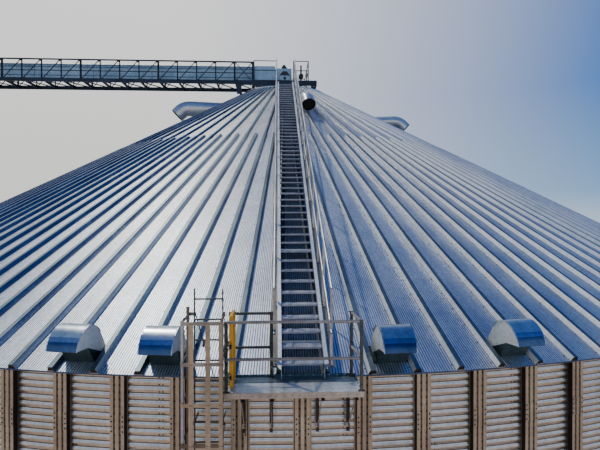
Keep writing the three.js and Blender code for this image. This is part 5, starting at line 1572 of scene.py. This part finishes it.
def ladder():
    """Flat rails and round rungs, tied to the wall, and braced to the roof at the top."""
    maker = Maker(LADDER_STEEL)
    for side in (-1, 1):
        x = LADDER_X + side * LADDER_HALF
        maker.sweep([(x, LADDER_Y, z) for z in (LADDER_FOOT, LADDER_TOP)], LADDER_RAIL, (0, 1, 0))
    count = int((LADDER_TOP - FIRST_RUNG_DROP - LADDER_FOOT) / RUNG_PITCH)
    for i in range(count):
        z = LADDER_TOP - FIRST_RUNG_DROP - i * RUNG_PITCH
        maker.tube([(LADDER_X - LADDER_HALF - RUNG_PROUD, LADDER_Y, z),
                    (LADDER_X + LADDER_HALF + RUNG_PROUD, LADDER_Y, z)], RUNG_R)
        if z < HIGHEST_TIE and i % TIE_EVERY == FIRST_TIE:
            for side in (-1, 1):
                x = LADDER_X + side * LADDER_HALF
                maker.sweep([(x, LADDER_Y, z), (x, WALL_FACE_Y + 0.09, z)], TIE)
                maker.hex_bolt((x + side * 0.008, LADDER_Y, z), (side, 0, 0), HEAD_10, BOLTS_AND_END_SHADE)
    away = slope_frame(BRACE_PAN)[1]
    for side in (-1, 1):
        across = side * LADDER_HALF
        low = roof_point(BRACE_PAN, BRACE_FOOT - BRACE_PLATE_HALF, 0.004, across)
        high = roof_point(BRACE_PAN, BRACE_FOOT + BRACE_PLATE_HALF, 0.004, across)
        maker.sweep([low, high], BRACE_PLATE, away)
        for share in (0.2, 0.8):
            maker.hex_bolt(low.lerp(high, share) + away * 0.004, away, HEAD_10, BOLTS_AND_END_SHADE)
        head = (LADDER_X + side * LADDER_HALF, LADDER_Y, BRACE_TOP)
        foot = roof_point(BRACE_PAN, BRACE_FOOT, 0.012, across)
        maker.sweep([head, foot], BRACE, away, BRIDGE_STEEL)
    return maker


def cage():
    """Flat-bar hoops bolted to upright straps, a tube at the left corner and a post behind it."""
    maker = Maker(STIFFENER_STEEL)
    front = CAGE_FRONT + 0.016
    left, right = CAGE_LEFT + 0.004, CAGE_RIGHT - 0.004
    rear = LADDER_Y + 0.004
    rail_left = LADDER_X - LADDER_HALF - 0.008
    rail_right = LADDER_X + LADDER_HALF + 0.008
    c = CAGE_CORNER
    z = CAGE_TOP - HOOP_HALF
    lowest = z
    level = 0
    while z > CAGE_FOOT:
        finish = TOP_HOOPS[level] if level < len(TOP_HOOPS) else STIFFENER_STEEL
        maker.sweep([(rail_left, rear, z), (left + c, rear, z), (left, rear - c, z),
                     (left, front + c, z), (left + c, front, z), (CAGE_FRONT_RIGHT, front, z)],
                    HOOP, finish=finish)
        maker.sweep([(right, front + 0.004, z), (right, rear - c, z), (right - c, rear, z),
                     (rail_right, rear, z)], HOOP, finish=finish)
        for x, _ in FRONT_STRAPS:
            for offset in (-RIVET_X, RIVET_X):
                maker.dome((x + offset, front - 0.009, z), (0, -1, 0), HOOP_RIVET, BOLTS_AND_END_SHADE)
        # Corner link between the front and the left side
        maker.sweep([(left + 0.008, front + 0.120, z - 0.01),
                     (left + 0.110, front + 0.008, z - 0.01)], CORNER_LINK, finish=ACCESS_STEEL)
        lowest = z
        z -= HOOP_PITCH
        level += 1
    foot = lowest - STRAP_FOOT_DROP
    for x, width in FRONT_STRAPS:
        maker.sweep([(x, front - 0.006, z) for z in (foot, CAGE_TOP)], rect(width, 0.005),
                    (0, 1, 0))
    maker.sweep([(right - 0.006, front + SIDE_STRAP_BACK, z) for z in (foot, CAGE_TOP)],
                SIDE_STRAP, (0, 1, 0))
    maker.tube([(left + CORNER_TUBE_R, front + CORNER_TUBE_R + 0.012, z)
                for z in (foot, CAGE_TOP + 0.01)], CORNER_TUBE_R, ACCESS_STEEL, 12)
    maker.sweep([(left + 0.004, REAR_POST_Y, z) for z in (foot, REAR_POST_TOP)],
                angle_section(REAR_POST_LEG, ANGLE_T), (0, 1, 0), POST_STEEL)
    return maker


piece("ladder_rails_and_rungs", ladder(), ["ladder"])
piece("ladder_cage", cage(), ["cage_front", "cage_left", "cage_right"])

# ---- Peak deck ----

BEAM_TOP = EAVE_Z + 9.545
BEAM_DEPTH = 0.225
BEAM_FLANGE = 0.090
BEAM_T = 0.012
PEAK_LEFT = -2.450
PEAK_RIGHT = 1.615
PEAK_HALF = 1.545
CROSS_BEAMS = (PEAK_LEFT, -1.700, -0.620, 0.460, PEAK_RIGHT - BEAM_FLANGE)
BEAM_BOLTS = (-0.07, 0, 0.07)
# Stub legs stand on the cap; the two at the left are longer and stand on the roof's ribs
CAP_LEGS = (1.380, -0.900)
LEG_HALF = 0.06
CAP_LEG_FOOT = CAP_Z + 0.022
ROOF_LEG_W = 0.24
# Blocks on the two left cross beams carry the bridge's low chords
BRIDGE_SEAT_Y = 0.75
BRIDGE_SEAT_TOP = EAVE_Z + 9.5697
PEAK_DECK_TOP = BEAM_TOP + 0.025
PEAK_RAIL_RIGHT = 1.180
PEAK_RAIL_HEIGHTS = (0.979, 0.500)
PEAK_POST_H = 0.990
PEAK_FOOT = (0.045, 0.03, 0.008)
BRIDGE_END = -1.640
STAIR_GATE = 0.430
# Grating: rim and bearing bars, cross bars, and the head's slot that it leaves free
RIM_T = 0.005
BEARING_T = 0.004
BEARING_STEP = 0.034
CROSS_BAR = (0.006, 0.008)
CROSS_BAR_STEP = 0.10
SLOT_RIGHT = 0.290
SLOT_HALF = 0.400
POST_AT = (0.850, -0.600)
POST_LEG_R = 0.040
POST_BASE_T = 0.012
DRUM_UP = 0.480
DRUM_SIDES = 28
# The drum's profile: along it, and its radius
DRUM = [(-0.160, 0.100), (-0.150, 0.126), (-0.060, 0.130), (0.060, 0.130), (0.150, 0.126),
        (0.160, 0.100)]


def peak_frame():
    """Channel beams on stub legs."""
    maker = Maker(BRIDGE_STEEL)
    mid = BEAM_TOP - BEAM_DEPTH / 2
    low = BEAM_TOP - BEAM_DEPTH
    for side in (-1, 1):
        y = side * PEAK_HALF
        y0, y1 = sorted((y, y - side * BEAM_FLANGE))
        maker.sweep([(PEAK_LEFT, y, mid), (PEAK_RIGHT, y, mid)],
                    channel_section(BEAM_DEPTH, BEAM_FLANGE, BEAM_T, side))
        for x in CAP_LEGS:
            maker.block((x - LEG_HALF, y0, CAP_LEG_FOOT), (x + LEG_HALF, y1, low), edge=0.004)
        near = math.hypot(PEAK_LEFT + ROOF_LEG_W, PEAK_HALF - BEAM_FLANGE)
        foot = roof_z(near) + UPPER_RIB[2] / COS
        maker.block((PEAK_LEFT, y0, foot), (PEAK_LEFT + ROOF_LEG_W, y1, low), edge=0.004)
        middle = side * BRIDGE_SEAT_Y
        for x in CROSS_BEAMS[:2]:
            maker.block((x, middle - LEG_HALF, BEAM_TOP - 0.002),
                        (x + BEAM_FLANGE, middle + LEG_HALF, BRIDGE_SEAT_TOP), edge=0.003)
    for x in CROSS_BEAMS:
        turn = -1 if x == CROSS_BEAMS[-1] else 1
        web = x + (BEAM_FLANGE if turn < 0 else 0)
        maker.sweep([(web, -PEAK_HALF + 0.013, mid), (web, PEAK_HALF - 0.013, mid)],
                    channel_section(BEAM_DEPTH - 0.004, BEAM_FLANGE, BEAM_T, turn))
        for side in (-1, 1):
            for z in BEAM_BOLTS:
                maker.hex_bolt((x + BEAM_FLANGE / 2, side * (PEAK_HALF + 0.001), mid + z),
                               (0, side, 0), HEAD_14, BOLTS_AND_END_SHADE)
    return maker


def peak_floor():
    """Grating panels round the head's slot: bearing bars and cross bars on a rim."""
    maker = Maker(BRIDGE_STEEL)
    left = BRIDGE_END + 0.020
    top, low = PEAK_DECK_TOP, BEAM_TOP + 0.001
    bar_w, bar_h = CROSS_BAR
    for x0, x1, y0, y1 in ((left, SLOT_RIGHT, -PEAK_HALF, -SLOT_HALF),
                           (left, SLOT_RIGHT, SLOT_HALF, PEAK_HALF),
                           (SLOT_RIGHT, PEAK_RIGHT, -PEAK_HALF, PEAK_HALF)):
        for y in (y0, y1 - RIM_T):
            maker.block((x0, y, low), (x1, y + RIM_T, top))
        for x in (x0, x1 - RIM_T):
            maker.block((x, y0, low), (x + RIM_T, y1, top))
        x = x0 + 0.035
        while x < x1 - 0.01:
            maker.block((x, y0, low), (x + BEARING_T, y1, top))
            x += BEARING_STEP
        y = y0 + CROSS_BAR_STEP
        while y < y1 - 0.02:
            maker.block((x0, y, top - bar_h), (x1, y + bar_w, top))
            y += CROSS_BAR_STEP
    return maker


def peak_guard():
    """Two runs of rail round the deck, open where the stair and the bridge come in."""
    maker = Maker(PEAK_STEEL)
    foot = PEAK_DECK_TOP
    edge = PEAK_HALF - 0.040
    left = BRIDGE_END + 0.060
    runs = [[(left, -edge), (-STAIR_GATE, -edge)],
            [(STAIR_GATE, -edge), (PEAK_RAIL_RIGHT, -edge), (PEAK_RAIL_RIGHT, edge), (left, edge)]]
    posts = [*runs[0], *runs[1][:2], (PEAK_RAIL_RIGHT, 0), runs[1][2], (0, edge), runs[1][3]]
    half_x, half_y, thick = PEAK_FOOT
    for x, y in posts:
        maker.tube([(x, y, foot), (x, y, foot + PEAK_POST_H)], GUARD_POST_R)
        maker.block((x - half_x, y - half_y, foot), (x + half_x, y + half_y, foot + thick),
                    edge=0.002)
    for run in runs:
        for height in PEAK_RAIL_HEIGHTS:
            maker.tube([(x, y, foot + height) for x, y in run], RAIL_R)
    return maker


def deck_post():
    """A short pole with a drum and stem on the peak deck."""
    maker = Maker(DRIVE_ENAMEL)
    x, y = POST_AT
    foot = PEAK_DECK_TOP
    base = foot + POST_BASE_T
    maker.block((x - 0.09, y - 0.09, foot), (x + 0.09, y + 0.09, base), edge=0.003)
    maker.tube([(x, y, base), (x, y, foot + 0.400)], POST_LEG_R, sides=20)
    rows = [[(x + across, y + along, foot + DRUM_UP + up)
             for across, up in circle(radius, DRUM_SIDES)] for along, radius in DRUM]
    maker.skin(rows, soft=True, closed=True)
    maker.add(rows[0], [tuple(range(DRUM_SIDES))])
    maker.add(rows[-1], [tuple(reversed(range(DRUM_SIDES)))])
    maker.tube([(x, y, foot + 0.590), (x, y, foot + 1.060)], 0.045, sides=20)
    maker.tube([(x, y, foot + 1.060), (x, y, foot + 1.078)], 0.030, sides=16)
    return maker


piece("peak_channel_beams", peak_frame(), ["peak_frame"])
piece("peak_deck_grating", peak_floor(), ["peak_deck"])
piece("peak_guard_rails", peak_guard(), ["peak_rail_left", "peak_rail_right"])
piece("deck_post_and_drum", deck_post(), ["deck_post"])

# ---- Conveyor and its bridge ----

BAY = 0.985
BAYS = 17
BRIDGE_FAR = BRIDGE_END - BAY * BAYS
BRIDGE_HALF = 0.750
CHORD_LOW = EAVE_Z + 9.570
CHORD_TOP = EAVE_Z + 10.750
LOW_CHORD = 0.190
CHORD = 0.080
CHORD_T = 0.008
TOP_CHORD = [(0, 0), (0, -CHORD), (CHORD_T, -CHORD), (CHORD_T, -CHORD_T), (CHORD, -CHORD_T),
             (CHORD, 0)]
MID_RAIL = EAVE_Z + 10.150
MID_BAR = rect(0.030, 0.040, 0.003)
# The end posts and every fourth one between them are wide
WIDE_POST = 0.090
NARROW_POST = 0.050
POST_T = 0.006
POST_FLANGE_HALF = 0.025
DIAGONAL = angle_section(0.034, ANGLE_T)
DIAGONAL_INSET = 0.06
GUSSET = [(-0.05, 0), (0.09, 0), (0.09, 0.05), (0.0, 0.10), (-0.05, 0.10)]
GUSSET_T = 0.005
FLOOR_BEAM = 0.130
FLOOR_DIAGONAL = angle_section(0.045, ANGLE_T)
SADDLE = (0.03, 0.280)
# Foot and top of the casing, and where the stiffening beads run up its side
CASING = (EAVE_Z + 9.9005, EAVE_Z + 10.640)
CASING_HALF = 0.300
CASING_BEADS = (0.18, 0.52, 0.78)
BEAD = rect(0.014, 0.030, 0.004)
FIRST_JOINT = -4.000
JOINT_PITCH = 3.020
JOINT_HALF = 0.008
JOINT_BOLTS = 6
COVER_FLANGE = rect(0.032, 0.008)
COVER_BOLT = (0.008, 0.008)
COVER_BOLT_STEP = 0.25
# Left, right, half width, foot and top of the head
HEAD = (-1.600, 0.360, 0.360, EAVE_Z + 9.720, EAVE_Z + 10.550)
STEP_END = -0.520
STEP_TOP = EAVE_Z + 10.660
HEAD_RIBS = (HEAD[0] + 0.02, -1.10, -0.54, -0.08, HEAD[1] - 0.03)
HEAD_RIB = 0.012
SPOUT_FOOT = CAP_Z + 0.021
SPOUT_FLANGE_T = 0.012
# Inspection door and its bolts, across and up from the head's foot
DOOR = [(-0.22, 0.10), (0.22, 0.10), (0.22, 0.55), (-0.22, 0.55)]
DOOR_T = 0.010
DOOR_BOLTS = [(-0.19, 0.13), (-0.19, 0.52), (0.19, 0.13), (0.19, 0.52)]
SHAFT_AT = (-0.02, EAVE_Z + 9.98)
DRIVE_FACE = -0.3603
GEARBOX_LOW = EAVE_Z + 9.760
GEARBOX_TOP = EAVE_Z + 10.050
GEARBOX_OUT = 0.420
BELT_COVER = [(-0.260, 0), (0.240, 0), (0.240, 0.060), (0.090, 0.240), (-0.110, 0.240),
              (-0.260, 0.060)]
GEARBOX_BOLT = (0.014, 0.010)
MOTOR_X = -0.040
MOTOR_FOOT = EAVE_Z + 10.5503
FLANGE_TOP = MOTOR_FOOT + 0.030
FINS = 24
# One fin: the share of its pitch, and the radius
FIN = ((0.0, 0.125), (0.35, 0.125), (0.4, 0.110), (0.95, 0.110))
# The fan cover's profile: radius, and height over the motor's foot
FAN_COVER = [(0.100, 0.200), (0.100, 0.215), (0.080, 0.225), (0.080, 0.270), (0.066, 0.286),
             (0.02, 0.289)]
FAN_COVER_SIDES = 24


def bridge_side(side):
    """One lattice side: angle top chord, channel low chord, posts, diagonals and a mid rail."""
    maker = Maker(BRIDGE_STEEL)
    y = side * BRIDGE_HALF
    face = y + side * CHORD / 2
    span = (BRIDGE_FAR, BRIDGE_END)
    maker.sweep([(x, face, CHORD_TOP) for x in span], handed(TOP_CHORD, side))
    maker.sweep([(x, face, CHORD_LOW + LOW_CHORD / 2) for x in span],
                channel_section(LOW_CHORD, 0.070, 0.009, side))
    maker.sweep([(x, y, MID_RAIL) for x in span], MID_BAR)
    low = CHORD_LOW + LOW_CHORD - 0.05
    high = CHORD_TOP - 0.020
    foot, head = low + 0.02, high - 0.03
    f, t = POST_FLANGE_HALF, POST_T
    for i in range(BAYS + 1):
        h = (WIDE_POST if i % 4 == 1 or i in (0, BAYS) else NARROW_POST) / 2
        x = min(max(BRIDGE_END - i * BAY, BRIDGE_FAR + h), BRIDGE_END - h)
        section = [(-h, -f), (h, -f), (h, -f + t), (-h + t, -f + t), (-h + t, f), (-h, f)]
        maker.sweep([(x, y, low), (x, y, high)], section, (0, side, 0))
        for z in (foot, head):
            maker.hex_bolt((x, y + side * 0.041, z), (0, side, 0), HEAD_12, BOLTS_AND_END_SHADE)
        if i == BAYS:
            continue
        near = BRIDGE_END - i * BAY - DIAGONAL_INSET
        far = BRIDGE_END - (i + 1) * BAY + DIAGONAL_INSET
        # The bay at the silo has both diagonals
        for x0, x1 in ((far, near), (near, far))[:2 if i == 0 else 1]:
            maker.sweep([(x0, y, foot), (x1, y, head)], DIAGONAL, (0, 1, 0))
        # Gusset where post, diagonal and chord meet
        for x, z in ((far, low), (near - 0.04, high - 0.10)):
            maker.plate(GUSSET, (x, y + 0.028, z), (1, 0, 0), (0, 0, 1), GUSSET_T)
    return maker


def bridge_floor():
    """Cross channels from post to post, saddles for the casing and a diagonal in each bay."""
    maker = Maker(BRIDGE_STEEL)
    inner = BRIDGE_HALF - CHORD / 2
    floor_top = CHORD_LOW + LOW_CHORD
    half_x, half_y = SADDLE
    for i in range(BAYS + 1):
        x = min(max(BRIDGE_END - i * BAY, BRIDGE_FAR + 0.035), BRIDGE_END - 0.035)
        z = floor_top - FLOOR_BEAM / 2
        maker.sweep([(x, -inner, z), (x, inner, z)], channel_section(FLOOR_BEAM, 0.050, 0.008))
        if i % 2 == 1 or i == 0:
            maker.block((x - half_x, -half_y, floor_top - 0.01),
                        (x + half_x, half_y, CASING[0] - 0.001), edge=0.004)
        if i < BAYS:
            far = BRIDGE_END - (i + 1) * BAY
            z = CHORD_LOW + 0.09
            maker.sweep([(x, inner - 0.03, z), (far, -inner + 0.03, z)], FLOOR_DIAGONAL)
    return maker


def casing():
    """Folded sheet trough and cover with bolted flange joints and stiffening beads."""
    maker = Maker(CASING_SHEET)
    z0, z1 = CASING
    depth = z1 - z0
    start, stop = BRIDGE_FAR, HEAD[0] - 0.001
    mid = (z0 + z1) / 2
    maker.sweep([(start, 0, mid), (stop, 0, mid)], rect(2 * CASING_HALF, depth, 0.006))
    flange = rect(2 * CASING_HALF + 0.06, depth + 0.001, 0.004)
    x = FIRST_JOINT
    while x > start:
        maker.sweep([(x - JOINT_HALF, 0, mid), (x + JOINT_HALF, 0, mid)], flange)
        for side in (-1, 1):
            for k in range(JOINT_BOLTS):
                z = z0 + 0.05 + k * (depth - 0.10) / (JOINT_BOLTS - 1)
                maker.hex_bolt((x + JOINT_HALF, side * (CASING_HALF + 0.015), z), (1, 0, 0),
                               HEAD_9, BOLTS_AND_END_SHADE)
        x -= JOINT_PITCH
    # Stiffening beads along both sides, and the cover flange along both upper edges
    ends = (start + 0.01, stop - 0.01)
    for side in (-1, 1):
        for share in CASING_BEADS:
            maker.sweep([(x, side * (CASING_HALF + 0.007), z0 + share * depth) for x in ends],
                        BEAD, finish=DEEP_SKY_STEEL)
        maker.sweep([(x, side * (CASING_HALF + 0.016), z1 - 0.045) for x in ends], COVER_FLANGE)
        x = stop - 0.1
        while x > start:
            maker.hex_bolt((x, side * (CASING_HALF + 0.018), z1 - 0.041), (0, 0, 1), COVER_BOLT,
                           BOLTS_AND_END_SHADE)
            x -= COVER_BOLT_STEP
    return maker


def head_box():
    """Drive head: sheet box with a stepped cover, folded ribs, flanges and the discharge spout."""
    maker = Maker(CASING_SHEET)
    left, right, half, low, high = HEAD
    maker.block((left, -half, low), (right, half, high), edge=0.008)
    maker.block((left, -half, high - 0.01), (STEP_END, half, STEP_TOP), edge=0.006)
    rib = HEAD_RIB
    for x in HEAD_RIBS:
        maker.block((x - rib, -half - rib, low + 0.02), (x + rib, half + rib, high - 0.02),
                    edge=0.002)
    # Spout, its flange on the cap, and its flange under the head
    flange_top = SPOUT_FOOT + SPOUT_FLANGE_T
    for z0, z1, width, edge in ((SPOUT_FOOT, low + 0.01, 0.400, 0.006),
                                (SPOUT_FOOT, flange_top, 0.55, 0.003),
                                (low - 0.03, low, 0.48, 0.003)):
        maker.sweep([(0, 0, z0), (0, 0, z1)], rect(width, width, edge), (0, 1, 0))
    for k in range(5):
        for side in (-1, 1):
            maker.hex_bolt((-0.22 + 0.11 * k, side * 0.25, flange_top), (0, 0, 1), HEAD_10,
                           BOLTS_AND_END_SHADE)
    maker.plate(DOOR, (right, 0, low), (0, 1, 0), (0, 0, 1), DOOR_T)
    for y, z in DOOR_BOLTS:
        maker.hex_bolt((right + DOOR_T, y, low + z), (1, 0, 0), HEAD_10, BOLTS_AND_END_SHADE)
    # Bearing housing of the shaft
    x, z = SHAFT_AT
    maker.tube([(x, half, z), (x, half + 0.05, z)], 0.09, sides=24)
    return maker


def drive():
    """Gearbox with a sloped belt cover over it."""
    maker = Maker(DRIVE_ENAMEL)
    front = DRIVE_FACE - GEARBOX_OUT
    maker.block((-0.260, front, GEARBOX_LOW), (0.240, DRIVE_FACE, GEARBOX_TOP), CASING_SHEET,
                0.015)
    maker.plate(BELT_COVER, (0, DRIVE_FACE, GEARBOX_TOP), (1, 0, 0), (0, 0, 1), 0.300)
    maker.sweep([(x, DRIVE_FACE - 0.302, GEARBOX_TOP + z) for x, z in BELT_COVER],
                rect(0.020, 0.012), (0, 1, 0), loop=True)
    for x in (-0.20, -0.01, 0.18):
        for z in (0.05, 0.24):
            maker.hex_bolt((x, front, GEARBOX_LOW + z), (0, -1, 0), GEARBOX_BOLT, BOLTS_AND_END_SHADE)
    maker.tube([(-0.01, DRIVE_FACE - out, EAVE_Z + 9.90) for out in (0.430, 0.418)], 0.08,
               sides=24)
    return maker


def motor():
    """Upright motor: finned barrel on a square flange, fan cover and terminal box."""
    maker = Maker(DRIVE_ENAMEL)
    x, foot = MOTOR_X, MOTOR_FOOT
    maker.block((x - 0.170, -0.150, foot), (x + 0.170, 0.150, FLANGE_TOP), edge=0.004)
    round_it = []
    for k in range(FINS):
        for share, radius in FIN:
            a = 2 * math.pi * (k + share) / FINS
            round_it.append((x + radius * math.cos(a), radius * math.sin(a)))
    rows = [[(*place, z) for place in round_it] for z in (FLANGE_TOP, foot + 0.200)]
    maker.skin(rows, closed=True)
    maker.add(rows[1], [tuple(range(len(round_it)))])
    rows = [[(x + across, y, foot + z) for across, y in circle(radius, FAN_COVER_SIDES)]
            for radius, z in FAN_COVER]
    maker.skin(rows, soft=True, closed=True)
    maker.add(rows[-1], [tuple(range(FAN_COVER_SIDES))])
    for offset in (-0.14, 0.14):
        for y in (-0.12, 0.12):
            maker.hex_bolt((x + offset, y, FLANGE_TOP), (0, 0, 1), HEAD_10, BOLTS_AND_END_SHADE)
    maker.block((x + 0.105, -0.05, foot + 0.06), (x + 0.165, 0.05, foot + 0.15), edge=0.006)
    return maker


for name, side in (("front", -1), ("back", 1)):
    piece(f"bridge_{name}_lattice", bridge_side(side), [f"bridge_{name}_truss"])
piece("bridge_floor_beams", bridge_floor(), ["bridge_underframe"])
piece("conveyor_trough", casing(), ["conveyor_casing"])
piece("conveyor_head_box", head_box(), ["conveyor_head"])
piece("gearbox_and_cover", drive(), ["drive_gearbox"])
piece("finned_motor", motor(), ["drive_motor"])

# ---- Camera, light and floor ----

LENS_PX = 471.8
FRAME_PX = 600
SENSOR_MM = 36
CAMERA_AT = (-0.378, AXIS_Y - 25.590, 20.254)
# Pitch, roll and pan in degrees
CAMERA_TURN = (90 - 0.358, 0.0, -2.698)
CLIP_END = 500
# Colours of the sky from the horizon up: at the back, towards the bright side, and behind
# the camera
CLEAR_SKY = [(0.0, "#bcd0e2"), (0.06, "#7fa9d6"), (0.25, "#2f72c4"), (0.8, "#2257a4")]
HAZY_SKY = [(0.0, "#e9e9e6"), (0.50, "#ffffff"), (0.70, "#a8c2e0"), (0.88, "#2257a4")]
NEAR_SKY = [(0.0, "#e6e8ea"), (0.36, "#cfd8e2"), (0.47, "#2f6cb8"), (0.8, "#2257a4")]
BRIGHT_SIDE = (-0.80, 0.57, 0.20)
NEAR_SIDE = (0.0, -1.0, 0.0)
SKY_STRENGTH = 1.15
SUN_STRENGTH = 1.85
SUN_WIDTH = 2.0
SUN_SIDE = (-0.342, 0.402, 0.850)
FLOOR_HALF = 400.0
# The floor lies a little under the silo's foot
FLOOR_DROP = 0.004


def photo_camera():
    data = bpy.data.cameras.new("photo_camera")
    data.sensor_width = SENSOR_MM
    data.lens = LENS_PX * SENSOR_MM / FRAME_PX
    data.clip_end = CLIP_END
    camera = bpy.data.objects.new("photo_camera", data)
    camera.location = CAMERA_AT
    camera.rotation_euler = [math.radians(turn) for turn in CAMERA_TURN]
    bpy.context.scene.collection.objects.link(camera)
    bpy.context.scene.camera = camera


def soft_sky():
    """Blue overhead, a pale bright side at the far left, and cloud behind the camera."""
    world = bpy.data.worlds.new("soft_sky")
    bpy.context.scene.world = world
    world.use_nodes = True
    tree = world.node_tree
    background = tree.nodes["Background"]
    place = add_node(tree, "ShaderNodeTexCoord").outputs["Generated"]
    split = add_node(tree, "ShaderNodeSeparateXYZ", {0: place})
    sky = add_node(
        tree, "ShaderNodeValToRGB", {"Fac": split.outputs[2]}, CLEAR_SKY
    ).outputs["Color"]
    for side, low, high, colours in (
        (BRIGHT_SIDE, 0.0, 0.75, HAZY_SKY), (NEAR_SIDE, 0.15, 0.60, NEAR_SKY)
    ):
        band = add_node(tree, "ShaderNodeValToRGB", {"Fac": split.outputs[2]}, colours)
        towards = add_node(
            tree, "ShaderNodeVectorMath", {0: place, 1: side}, operation="DOT_PRODUCT"
        )
        share = add_node(
            tree, "ShaderNodeMapRange",
            {"Value": towards.outputs["Value"], "From Min": low, "From Max": high},
        )
        sky = add_node(
            tree, "ShaderNodeMix", {"Factor": share.outputs[0], 6: sky, 7: band.outputs["Color"]},
            data_type="RGBA",
        ).outputs[2]
    tree.links.new(sky, background.inputs["Color"])
    background.inputs["Strength"].default_value = SKY_STRENGTH


def key_light():
    data = bpy.data.lights.new("key", "SUN")
    data.energy = SUN_STRENGTH
    data.angle = math.radians(SUN_WIDTH)
    data.color = linear("#fff3e0")[:3]
    key = bpy.data.objects.new("key", data)
    key.rotation_euler = Vector(SUN_SIDE).to_track_quat("Z", "Y").to_euler()
    bpy.context.scene.collection.objects.link(key)


def pale_floor():
    half = FLOOR_HALF
    mesh = bpy.data.meshes.new("floor")
    mesh.from_pydata([(-half, -half, 0), (half, -half, 0), (half, half, 0), (-half, half, 0)], [],
                     [(0, 1, 2, 3)])
    material, _, shader = new_material("pale_floor")
    shader.inputs["Base Color"].default_value = linear("#f2dec8")
    shader.inputs["Roughness"].default_value = 0.9
    mesh.materials.append(material)
    floor = bpy.data.objects.new("floor", mesh)
    floor.location = (0, 0, -FLOOR_DROP)
    bpy.context.scene.collection.objects.link(floor)


photo_camera()
soft_sky()
key_light()
pale_floor()
